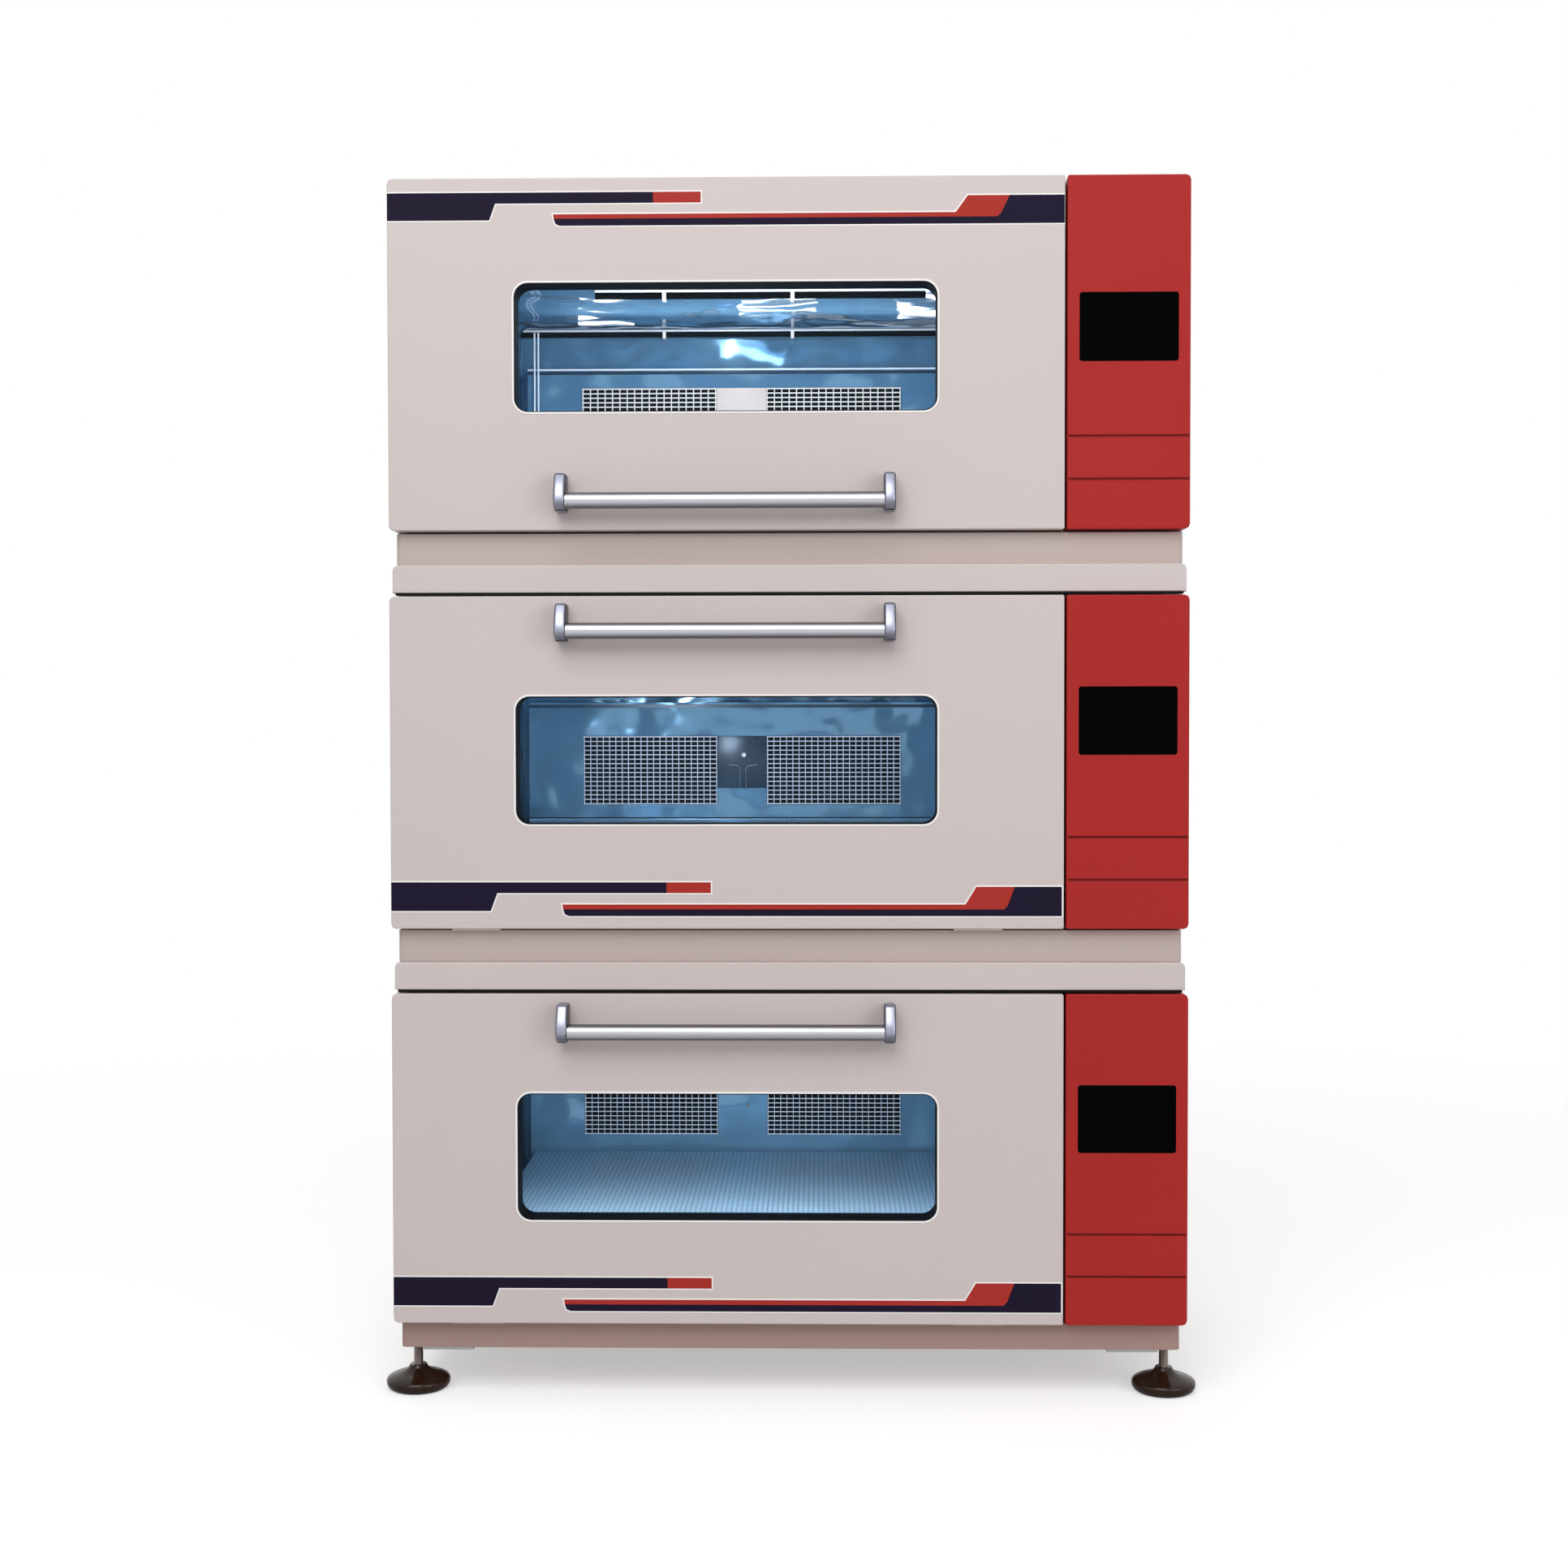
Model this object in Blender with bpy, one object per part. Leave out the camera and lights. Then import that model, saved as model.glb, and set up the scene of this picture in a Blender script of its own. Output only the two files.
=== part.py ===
"""Floor-standing stack of three shaking incubators for cell culture under carbon dioxide.

Metres, +Z up, the doors face -Y and the origin lies on the floor under the middle of the stack.
Depths are measured from the front face of the doors towards the back.
"""
import math

import bmesh
import bpy
from mathutils import Matrix, Vector

# Fits
SEAT = 0.0003
SMALL_RADIUS = 0.015

# Stack and unit
STACK_HEIGHT = 2.041
UNIT_NAMES = ("bottom", "middle", "top")
UNIT_WIDTH = 1.330
CASE_DEPTH = 0.820
CASE_INSET = 0.004
CORNER_RADIUS = 0.008
TOP_DOOR_EXTRA = 0.027
TOP_CASE_DROP = 0.001
LID_GAP = 0.006
LID_HEIGHT = 0.046
LID_SETBACK = 0.008

# Plinths and feet
FOOT_CLEARANCE = 0.083
BASE_PLINTH_HEIGHT = 0.044
BASE_PLINTH_INSET = 0.008
BASE_PLINTH_SETBACK = 0.025
PLINTH_HEIGHT = 0.053
PLINTH_INSET = 0.008
PLINTH_SETBACK = 0.020
PLINTH_BACK_SETBACK = 0.020
PLINTH_GAP = 0.004
FOOT_PAD_RADIUS = 0.054
FOOT_PAD_HEIGHT = 0.040
FOOT_RIM_HEIGHT = 0.018
FOOT_STEM_RADIUS = 0.008
FOOT_INSET = 0.027
FOOT_SETBACK = 0.075
FOOT_PLATE_LENGTH = 0.085
FOOT_PLATE_WIDTH = 0.070
FOOT_PLATE_THICKNESS = 0.008
FOOT_PLATE_GAP = 0.008
FOOT_SIDES = 16

# Door and control fascia
FASCIA_WIDTH = 0.203
DOOR_GAP = 0.004
DOOR_THICKNESS = 0.050
FRONT_EASE = 0.002
INNER_CORNER = 0.003
GASKET_SPACE = 0.006
GASKET_WIDTH = 0.022
GASKET_MARGIN = 0.008
DOOR_PLUG_GAP = 0.006
DOOR_PLUG_DEPTH = 0.012
WINDOW_WIDTH = 0.704
WINDOW_HEIGHT = 0.215
WINDOW_RADIUS = 0.024
WINDOW_RISE = 0.174
TOP_WINDOW_RISE = 0.195
PANE_LAP = 0.010
PANE_DEPTH = 0.036
PANE_THICKNESS = 0.012
DISPLAY_WIDTH = 0.163
DISPLAY_HEIGHT = 0.113
DISPLAY_RISE = 0.290
TOP_DISPLAY_RISE = 0.276
DISPLAY_THICKNESS = 0.006
DISPLAY_RADIUS = 0.004
GROOVE_WIDTH = 0.004
GROOVE_DEPTH = 0.002
GROOVE_RISES = (0.082, 0.153)

# Handle
HANDLE_LENGTH = 0.568
HANDLE_REACH = 0.050
HANDLE_BAR_RADIUS = 0.0135
HANDLE_BAR_COVER = 0.0035
HANDLE_BRACKET_WIDTH = 0.022
HANDLE_BRACKET_HEIGHT = 0.064
HANDLE_TOP_REACH = 0.026
HANDLE_LOW_REACH = 0.030
HANDLE_BAR_RISE = 0.018
HANDLE_TOP_DROP = 0.0135
TOP_HANDLE_RISE = 0.0275
BAR_SIDES = 14
BRACKET_STEPS = 4

# Door hinges
HINGE_RADIUS = 0.0035
HINGE_PIN_RADIUS = 0.0015
HINGE_LENGTH = 0.040
HINGE_EAR_LENGTH = 0.020
HINGE_END_GAP = 0.0005
HINGE_POCKET = 0.001
HINGE_LEAF = 0.0025
HINGE_SPREAD = 0.420
DROP_HINGE_DEPTH = 0.012
DROP_HINGE_FALL = 0.0005
LIFT_HINGE_INSET = 0.001
LIFT_HINGE_FALL = 0.006
HINGE_SIDES = 8

# Chamber
CHAMBER_WIDTH = 0.900
CHAMBER_RISE = 0.112
CHAMBER_HEADROOM = 0.079
REAR_WALL = 0.070
CHAMBER_RADIUS = 0.020
LINER_WALL = 0.0015

# Air duct at the back of the chamber
DUCT_DEPTH = 0.058
DUCT_HEIGHT = 0.274
DUCT_WALL = 0.002
DUCT_SIDE_GAP = 0.001
GRILLE_WIDTH = 0.268
GRILLE_HEIGHT = 0.137
GRILLE_SPACING = 0.367
GRILLE_RISE = 0.252
TOP_GRILLE_RISE = 0.281
GRILLE_SLOTS = 5
GRILLE_BAR = 0.009
FAN_RISE = 0.247
FAN_RADIUS = 0.085
FAN_HUB_RADIUS = 0.020
FAN_WIDTH = 0.032
FAN_PLATE = 0.003
FAN_BLADES = 12
FAN_BLADE_THICKNESS = 0.003
FAN_SHAFT_RADIUS = 0.006
FAN_SHAFT_REACH = 0.030
FAN_BACK_GAP = 0.006
FAN_SIDES = 16

# Orbiting platform and its drive
ORBIT_RADIUS = 0.013
PLATFORM_SIDE_GAP = 0.010
PLATFORM_FRONT_GAP = 0.036
PLATFORM_BACK_GAP = 0.0119
PLATFORM_TOP = 0.154
PLATFORM_PLATE = 0.006
PLATFORM_SKIRT = 0.024
PLATFORM_WALL = 0.004
PLATFORM_RADIUS = 0.012
SOCKET_RADIUS = 0.028
SOCKET_DROP = 0.035
PIN_RADIUS = 0.012
PIN_TOP = 0.144
PIN_HOLE_RADIUS = 0.030
CRANK_INSET = 0.1252
BAY_SIDE_GAP = 0.055
BAY_FRONT_REACH = 0.255
BAY_BACK_REACH = 0.305
BAY_HEIGHT = 0.090
BEARING_RADIUS = 0.025
BEARING_HEIGHT = 0.016
BEARING_DEPTH = 0.012
SPINDLE_RADIUS = 0.010
HUB_RADIUS = 0.022
PULLEY_LEVEL = 0.056
PULLEY_WIDTH = 0.020
PULLEY_FLANGE = 0.002
PULLEY_LIP = 0.003
DRIVE_PULLEY_RADIUS = 0.110
MOTOR_PULLEY_RADIUS = 0.030
IDLER_RADIUS = 0.040
WEIGHT_RADIUS = 0.085
WEIGHT_LEVEL = 0.028
MOTOR_RADIUS = 0.045
MOTOR_TOP = 0.050
MOTOR_FLANGE = 0.006
MOTOR_SHAFT_RADIUS = 0.006
MOTOR_SHAFT_DEPTH = 0.030
MOTOR_OFFSET = (0.154, 0.180)
BELT_THICKNESS = 0.002
BELT_WIDTH = 0.012
PULLEY_SIDES = 20
ROUND_SIDES = 12
SMALL_SIDES = 10

# Connections at the back of each unit
PORT_RADIUS = 0.008
PORT_LENGTH = 0.015
PORT_RISE = 0.470
PORT_SPACING = 0.045
PORT_X = 0.560
INLET_WIDTH = 0.050
INLET_HEIGHT = 0.034
INLET_LENGTH = 0.006
INLET_HOLE_WIDTH = 0.028
INLET_HOLE_HEIGHT = 0.020
INLET_HOLE_DEPTH = 0.016
INLET_RISE = 0.060

# Places that follow from the sizes
FACE_Y = (HANDLE_REACH - CASE_DEPTH - PORT_LENGTH) / 2
DOOR_WIDTH = UNIT_WIDTH - FASCIA_WIDTH - DOOR_GAP
DOOR_LEFT = -UNIT_WIDTH / 2
DOOR_RIGHT = DOOR_LEFT + DOOR_WIDTH
DOOR_X = (DOOR_LEFT + DOOR_RIGHT) / 2
CASE_SETBACK = DOOR_THICKNESS + GASKET_SPACE
FIRST_FLOOR = FOOT_CLEARANCE + BASE_PLINTH_HEIGHT + PLINTH_GAP
STEP_HEIGHT = LID_GAP + LID_HEIGHT + PLINTH_HEIGHT + PLINTH_GAP
DOORS_HEIGHT = STACK_HEIGHT - FIRST_FLOOR - (len(UNIT_NAMES) - 1) * STEP_HEIGHT
LOWER_DOOR_HEIGHT = (DOORS_HEIGHT - TOP_DOOR_EXTRA) / len(UNIT_NAMES)
TOP_DOOR_HEIGHT = LOWER_DOOR_HEIGHT + TOP_DOOR_EXTRA
UNIT_PITCH = LOWER_DOOR_HEIGHT + STEP_HEIGHT
CHAMBER_HEIGHT = LOWER_DOOR_HEIGHT - CHAMBER_RISE - CHAMBER_HEADROOM
CHAMBER_BACK = CASE_DEPTH - REAR_WALL
CHAMBER_FLOOR = CHAMBER_RISE + LINER_WALL + SEAT
DUCT_BACK = CHAMBER_BACK - LINER_WALL - SEAT * 2
DUCT_FRONT = DUCT_BACK - DUCT_DEPTH
FOOT_X = UNIT_WIDTH / 2 - FOOT_INSET
PLATFORM_WIDTH = CHAMBER_WIDTH - 2 * (LINER_WALL + SEAT + ORBIT_RADIUS + PLATFORM_SIDE_GAP)
PLATFORM_SETBACK = CASE_SETBACK + ORBIT_RADIUS + PLATFORM_FRONT_GAP
PLATFORM_DEPTH = DUCT_FRONT - ORBIT_RADIUS - PLATFORM_BACK_GAP - PLATFORM_SETBACK
CRANK_DEPTH = PLATFORM_SETBACK + PLATFORM_DEPTH / 2
CRANK_SPACING = PLATFORM_WIDTH / 2 - CRANK_INSET
BAY_HALF = CRANK_SPACING + IDLER_RADIUS + BAY_SIDE_GAP

COLOURS = {
    "housing": ((0.69, 0.61, 0.59), 0.45, 0.0),
    "plinth": ((0.50, 0.42, 0.39), 0.5, 0.0),
    "fascia": ((0.43, 0.035, 0.03), 0.4, 0.0),
    "display": ((0.004, 0.004, 0.005), 0.15, 0.0),
    "gasket": ((0.02, 0.02, 0.02), 0.7, 0.0),
    "glass": ((0.75, 0.85, 0.9), 0.05, 0.0),
    "handle": ((0.80, 0.81, 0.83), 0.25, 1.0),
    "stainless": ((0.55, 0.60, 0.64), 0.3, 1.0),
    "platform": ((0.50, 0.60, 0.66), 0.35, 1.0),
    "steel": ((0.45, 0.45, 0.46), 0.35, 1.0),
    "motor": ((0.05, 0.05, 0.055), 0.5, 0.0),
    "belt": ((0.015, 0.015, 0.015), 0.8, 0.0),
    "fan": ((0.60, 0.61, 0.62), 0.4, 1.0),
    "foot": ((0.03, 0.018, 0.012), 0.3, 0.0),
}
AXES = {
    "x": (Vector((0, 1, 0)), Vector((0, 0, 1)), Vector((1, 0, 0))),
    "y": (Vector((1, 0, 0)), Vector((0, 0, 1)), Vector((0, 1, 0))),
    "z": (Vector((1, 0, 0)), Vector((0, 1, 0)), Vector((0, 0, 1))),
}


def back(depth):
    """World Y of a depth behind the door face."""
    return FACE_Y + depth


def around(radius, sides):
    """Corner radius of a polygon hole that a round piece of the radius turns in."""
    return (radius + SEAT) / math.cos(math.pi / sides)


def rectangle(left, right, low, high):
    return [(left, low), (right, low), (right, high), (left, high)]


def rounded(left, right, low, high, radii):
    """Rectangle with a radius at each corner: low left, low right, high right, high left."""
    if isinstance(radii, float):
        radii = (radii,) * 4
    corners = ((left, low, 1, 1), (right, low, -1, 1), (right, high, -1, -1), (left, high, 1, -1))
    points = []
    for index, (u, v, inward_u, inward_v) in enumerate(corners):
        radius = radii[index]
        if radius == 0:
            points.append((u, v))
            continue
        steps = 2 if radius < SMALL_RADIUS else 3
        for step in range(steps + 1):
            angle = math.pi * (1 + index / 2) + math.pi / 2 * step / steps
            points.append((
                u + inward_u * radius + radius * math.cos(angle),
                v + inward_v * radius + radius * math.sin(angle),
            ))
    return points


def circle(u, v, radius, sides):
    return [
        (u + radius * math.cos(math.tau * i / sides), v + radius * math.sin(math.tau * i / sides))
        for i in range(sides)
    ]


def solid_from(form, name="tool"):
    """Object that holds the finished form, with its faces turned outwards."""
    bmesh.ops.recalc_face_normals(form, faces=form.faces)
    mesh = bpy.data.meshes.new(name)
    form.to_mesh(mesh)
    form.free()
    solid = bpy.data.objects.new(name, mesh)
    bpy.context.scene.collection.objects.link(solid)
    return solid


def prism(outline, axis, start, end):
    """Outline swept straight along an axis."""
    across, up, along = AXES[axis]
    form = bmesh.new()
    ring = [form.verts.new(across * u + up * v + along * start) for u, v in outline]
    face = form.faces.new(ring)
    swept = bmesh.ops.extrude_face_region(form, geom=[face])["geom"]
    moved = [item for item in swept if isinstance(item, bmesh.types.BMVert)]
    bmesh.ops.translate(form, verts=moved, vec=along * (end - start))
    return solid_from(form)


def block(left, right, front, rear, low, high):
    return prism(rectangle(left, right, back(front), back(rear)), "z", low, high)


def turned(profile, axis, centre, sides):
    """Profile of (radius, place along the axis) spun once around the axis through the centre."""
    across, _, along = AXES[axis]
    centre = Vector(centre)
    form = bmesh.new()
    points = [form.verts.new(centre + across * radius + along * place) for radius, place in profile]
    edges = [form.edges.new(pair) for pair in zip(points, points[1:])]
    bmesh.ops.spin(
        form, geom=points + edges, cent=centre, axis=along, angle=math.tau, steps=sides, use_merge=True
    )
    bmesh.ops.remove_doubles(form, verts=form.verts, dist=SEAT / 10)
    return solid_from(form)


def combine(operation, solid, tools):
    """Boolean of the solid with each tool in turn. The tools are used up."""
    for tool in tools:
        step = solid.modifiers.new(operation.title(), "BOOLEAN")
        step.operation = operation
        step.solver = "EXACT"
        step.object = tool
    graph = bpy.context.evaluated_depsgraph_get()
    solid.data = bpy.data.meshes.new_from_object(solid.evaluated_get(graph))
    solid.modifiers.clear()
    for tool in tools:
        bpy.data.objects.remove(tool)
    return solid


def cut(solid, *tools):
    return combine("DIFFERENCE", solid, tools)


def fuse(solid, *tools):
    return combine("UNION", solid, tools)


def ease_front(solid, width):
    """Rounds the edges of the solid's front face."""
    form = bmesh.new()
    form.from_mesh(solid.data)
    front = min(vert.co.y for vert in form.verts)
    edges = [edge for edge in form.edges if all(vert.co.y < front + SEAT for vert in edge.verts)]
    bmesh.ops.bevel(form, geom=edges, offset=width, segments=2, profile=0.5, affect="EDGES")
    form.to_mesh(solid.data)
    form.free()
    return solid


def material(name):
    found = bpy.data.materials.get(name)
    if found:
        return found
    colour, roughness, metallic = COLOURS[name]
    made = bpy.data.materials.new(name)
    made.use_nodes = True
    shader = made.node_tree.nodes["Principled BSDF"]
    shader.inputs["Base Color"].default_value = (*colour, 1)
    shader.inputs["Roughness"].default_value = roughness
    shader.inputs["Metallic"].default_value = metallic
    made.diffuse_color = (*colour, 1)
    return made


def world_place(item):
    """World location of an object in a chain that only moves its children."""
    return item.location + world_place(item.parent) if item.parent else item.location.copy()


def finish(solid, name, look, origin=(0, 0, 0), parent=None):
    """Names the solid, gives it its material and puts its origin on the point."""
    origin = Vector(origin)
    solid.name = name
    solid.data.name = name
    solid.data.transform(Matrix.Translation(-origin))
    solid.location = origin
    if parent:
        solid.parent = parent
        solid.location = origin - world_place(parent)
    solid.data.materials.clear()
    solid.data.materials.append(material(look))
    solid.data.shade_smooth()
    solid.data.set_sharp_from_angle(angle=math.radians(32))
    return solid


def axis_empty(name, place):
    empty = bpy.data.objects.new(name, None)
    empty.location = place
    empty.empty_display_size = 0.05
    bpy.context.scene.collection.objects.link(empty)
    return empty


class Unit:
    """Levels and places of one incubator in the stack."""

    def __init__(self, name, index):
        self.name = name
        self.floor = FIRST_FLOOR + index * UNIT_PITCH
        self.is_base = index == 0
        self.lifts = name == UNIT_NAMES[-1]
        height = TOP_DOOR_HEIGHT if self.lifts else LOWER_DOOR_HEIGHT
        self.door_top = self.floor + height
        self.window_low = self.floor + (TOP_WINDOW_RISE if self.lifts else WINDOW_RISE)
        self.display_low = self.floor + (TOP_DISPLAY_RISE if self.lifts else DISPLAY_RISE)
        self.grille_middle = self.floor + (TOP_GRILLE_RISE if self.lifts else GRILLE_RISE)
        self.plinth_top = self.floor - PLINTH_GAP
        self.case_low = self.plinth_top + SEAT
        if self.lifts:
            self.case_top = self.door_top - TOP_CASE_DROP
            self.handle_low = self.floor + TOP_HANDLE_RISE
            self.hinge = (DOOR_THICKNESS - LIFT_HINGE_INSET, self.door_top - LIFT_HINGE_FALL)
        else:
            self.case_top = self.door_top + LID_GAP + LID_HEIGHT
            self.handle_low = self.door_top - HANDLE_TOP_DROP - HANDLE_BRACKET_HEIGHT
            self.hinge = (DROP_HINGE_DEPTH, self.floor - DROP_HINGE_FALL)

    def spindle(self, index):
        """World X and Y of the crank spindle to the left (-1), middle (0) or right (1)."""
        return DOOR_X + index * CRANK_SPACING, back(CRANK_DEPTH)

    def motor(self):
        x, y = self.spindle(0)
        return x + MOTOR_OFFSET[0], y + MOTOR_OFFSET[1]

    def fan(self):
        return DOOR_X, self.floor + FAN_RISE


def make_plinth(unit):
    """Base frame under the unit with the bearing housings of the three cranks."""
    inset = BASE_PLINTH_INSET if unit.is_base else PLINTH_INSET
    setback = BASE_PLINTH_SETBACK if unit.is_base else PLINTH_SETBACK
    height = BASE_PLINTH_HEIGHT if unit.is_base else PLINTH_HEIGHT - SEAT
    half = UNIT_WIDTH / 2 - inset
    low = unit.plinth_top - height
    outline = rounded(-half, half, back(setback), back(CASE_DEPTH - PLINTH_BACK_SETBACK), CORNER_RADIUS)
    plinth = prism(outline, "z", low, unit.plinth_top)
    parts = []
    for index in (-1, 0, 1):
        x, y = unit.spindle(index)
        bearing = circle(x, y, BEARING_RADIUS, ROUND_SIDES)
        parts.append(prism(bearing, "z", unit.plinth_top - SEAT, unit.floor + BEARING_HEIGHT))
    if unit.is_base:
        for side in (-1, 1):
            for depth in (FOOT_SETBACK, CASE_DEPTH - FOOT_SETBACK):
                inner = FOOT_X - FOOT_STEM_RADIUS - FOOT_PLATE_GAP
                ends = sorted((side * inner, side * (inner - FOOT_PLATE_LENGTH)))
                near = depth - FOOT_PLATE_WIDTH / 2
                far = depth + FOOT_PLATE_WIDTH / 2
                parts.append(block(*ends, near, far, low - FOOT_PLATE_THICKNESS, low + SEAT))
    fuse(plinth, *parts)
    wells = []
    for index in (-1, 0, 1):
        well = circle(*unit.spindle(index), around(SPINDLE_RADIUS, ROUND_SIDES), ROUND_SIDES)
        wells.append(prism(well, "z", unit.plinth_top - BEARING_DEPTH, unit.floor + BEARING_HEIGHT + SEAT))
    cut(plinth, *wells)
    return finish(plinth, f"{unit.name}_plinth", "plinth")


def make_foot(side, depth, name):
    """Levelling foot: a domed pad turned with its threaded stem."""
    profile = [
        (0, 0),
        (FOOT_PAD_RADIUS * 0.88, 0),
        (FOOT_PAD_RADIUS, FOOT_RIM_HEIGHT * 0.6),
        (FOOT_PAD_RADIUS, FOOT_RIM_HEIGHT),
        (FOOT_PAD_RADIUS * 0.88, FOOT_RIM_HEIGHT * 1.4),
        (FOOT_STEM_RADIUS * 2, FOOT_PAD_HEIGHT),
        (FOOT_STEM_RADIUS, FOOT_PAD_HEIGHT),
        (FOOT_STEM_RADIUS, FOOT_CLEARANCE - SEAT),
        (0, FOOT_CLEARANCE - SEAT),
    ]
    foot = turned(profile, "z", (side * FOOT_X, back(depth), 0), FOOT_SIDES)
    return finish(foot, name, "foot")


def chamber_outline(unit, grow):
    """Front view of the chamber, grown outwards."""
    low = unit.floor + CHAMBER_RISE - grow
    high = unit.floor + CHAMBER_RISE + CHAMBER_HEIGHT + grow
    half = CHAMBER_WIDTH / 2 + grow
    return rounded(DOOR_X - half, DOOR_X + half, low, high, CHAMBER_RADIUS + grow)


def fixed_knuckles(unit):
    """Hinge barrels on leaves that reach forward from the housing."""
    depth, level = unit.hinge
    knuckles = []
    for side in (-1, 1):
        middle = DOOR_X + side * HINGE_SPREAD
        start = middle - HINGE_LENGTH / 2
        end = middle + HINGE_LENGTH / 2
        barrel = prism(circle(back(depth), level, HINGE_RADIUS, HINGE_SIDES), "x", start, end)
        low = level - (HINGE_LEAF / 2 if unit.lifts else HINGE_RADIUS * 0.9)
        leaf = block(start, end, depth, CASE_SETBACK + CASE_INSET, low, low + HINGE_LEAF)
        hole = circle(back(depth), level, around(HINGE_PIN_RADIUS, HINGE_SIDES), HINGE_SIDES)
        fuse(barrel, leaf)
        knuckles.append(cut(barrel, prism(hole, "x", start - SEAT, end + SEAT)))
    return knuckles


def make_housing(unit):
    """Foam-filled housing round the chamber, with the drive bay below it and the lid on top."""
    half = UNIT_WIDTH / 2 - CASE_INSET
    radii = (0, 0, CORNER_RADIUS, CORNER_RADIUS)
    outline = rounded(-half, half, unit.case_low, unit.case_top, radii)
    housing = prism(outline, "y", back(CASE_SETBACK), back(CASE_DEPTH))
    additions = fixed_knuckles(unit)
    if not unit.lifts:
        brow = rounded(-half, half, unit.door_top + LID_GAP, unit.case_top, radii)
        brow_solid = prism(brow, "y", back(LID_SETBACK), back(CASE_SETBACK + CASE_INSET))
        additions.append(ease_front(brow_solid, FRONT_EASE))
    for index in (0, 1):
        place = (PORT_X - index * PORT_SPACING, back(CASE_DEPTH), unit.floor + PORT_RISE)
        nozzle = [
            (0, -CASE_INSET),
            (PORT_RADIUS, -CASE_INSET),
            (PORT_RADIUS, PORT_LENGTH / 3),
            (PORT_RADIUS * 0.6, PORT_LENGTH / 3),
            (PORT_RADIUS * 0.5, PORT_LENGTH),
            (0, PORT_LENGTH),
        ]
        additions.append(turned(nozzle, "y", place, HINGE_SIDES))
    inlet_low = unit.floor + INLET_RISE
    frame = rounded(
        PORT_X - INLET_WIDTH / 2, PORT_X + INLET_WIDTH / 2,
        inlet_low, inlet_low + INLET_HEIGHT, CASE_INSET,
    )
    additions.append(prism(frame, "y", back(CASE_DEPTH - CASE_INSET), back(CASE_DEPTH + INLET_LENGTH)))
    fuse(housing, *additions)

    socket_low = inlet_low + (INLET_HEIGHT - INLET_HOLE_HEIGHT) / 2
    socket = rectangle(
        PORT_X - INLET_HOLE_WIDTH / 2, PORT_X + INLET_HOLE_WIDTH / 2,
        socket_low, socket_low + INLET_HOLE_HEIGHT,
    )
    socket_depth = CASE_DEPTH + INLET_LENGTH - INLET_HOLE_DEPTH
    bay_front, bay_rear = CRANK_DEPTH - BAY_FRONT_REACH, CRANK_DEPTH + BAY_BACK_REACH
    bay_top = unit.floor + BAY_HEIGHT
    tools = [
        prism(chamber_outline(unit, 0.0), "y", back(CASE_SETBACK - SEAT), back(CHAMBER_BACK)),
        block(DOOR_X - BAY_HALF, DOOR_X + BAY_HALF, bay_front, bay_rear, unit.case_low - SEAT, bay_top),
        prism(socket, "y", back(socket_depth), back(CASE_DEPTH + INLET_LENGTH + SEAT)),
    ]
    for index in (-1, 0, 1):
        hole = circle(*unit.spindle(index), PIN_HOLE_RADIUS, ROUND_SIDES)
        tools.append(prism(hole, "z", bay_top - SEAT, unit.floor + CHAMBER_RISE + SEAT))
    fan_x, fan_z = unit.fan()
    bore = circle(fan_x, fan_z, around(FAN_SHAFT_RADIUS, SMALL_SIDES), SMALL_SIDES)
    tools.append(prism(bore, "y", back(CHAMBER_BACK - SEAT), back(CHAMBER_BACK + FAN_SHAFT_REACH)))
    cut(housing, *tools)
    return finish(housing, f"{unit.name}_housing", "housing")


def make_liner(unit):
    """Stainless chamber liner, open to the front, with holes for the crank pins and the fan shaft."""
    outer = chamber_outline(unit, -SEAT)
    inner = chamber_outline(unit, -SEAT - LINER_WALL)
    liner = prism(outer, "y", back(CASE_SETBACK), back(CHAMBER_BACK - SEAT))
    tools = [prism(inner, "y", back(CASE_SETBACK - SEAT), back(CHAMBER_BACK - SEAT - LINER_WALL))]
    low = unit.floor + CHAMBER_RISE - LINER_WALL
    for index in (-1, 0, 1):
        hole = circle(*unit.spindle(index), PIN_HOLE_RADIUS, ROUND_SIDES)
        tools.append(prism(hole, "z", low, low + LINER_WALL * 4))
    fan_x, fan_z = unit.fan()
    hole = circle(fan_x, fan_z, FAN_SHAFT_RADIUS + LINER_WALL, SMALL_SIDES)
    tools.append(prism(hole, "y", back(CHAMBER_BACK - LINER_WALL * 3), back(CHAMBER_BACK)))
    cut(liner, *tools)
    return finish(liner, f"{unit.name}_chamber", "stainless")


def make_duct(unit):
    """Air duct on the chamber's back wall, with a louvred grille on either side of the fan."""
    half = CHAMBER_WIDTH / 2 - LINER_WALL - DUCT_SIDE_GAP - CHAMBER_RADIUS
    low = unit.floor + CHAMBER_FLOOR + SEAT
    high = low + DUCT_HEIGHT
    front, rear = DUCT_FRONT, DUCT_BACK
    duct = block(DOOR_X - half, DOOR_X + half, front, rear, low, high)
    left, right = DOOR_X - half + DUCT_WALL, DOOR_X + half - DUCT_WALL
    tools = [block(left, right, front + DUCT_WALL, rear + SEAT, low + DUCT_WALL, high - DUCT_WALL)]
    slot = (GRILLE_HEIGHT - (GRILLE_SLOTS - 1) * GRILLE_BAR) / GRILLE_SLOTS
    for side in (-1, 1):
        middle = DOOR_X + side * GRILLE_SPACING / 2
        for index in range(GRILLE_SLOTS):
            slot_low = unit.grille_middle - GRILLE_HEIGHT / 2 + index * (slot + GRILLE_BAR)
            ends = (middle - GRILLE_WIDTH / 2, middle + GRILLE_WIDTH / 2)
            tools.append(block(*ends, front - SEAT, front + DUCT_WALL * 2, slot_low, slot_low + slot))
    cut(duct, *tools)
    return finish(duct, f"{unit.name}_rear_duct", "stainless")


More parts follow.
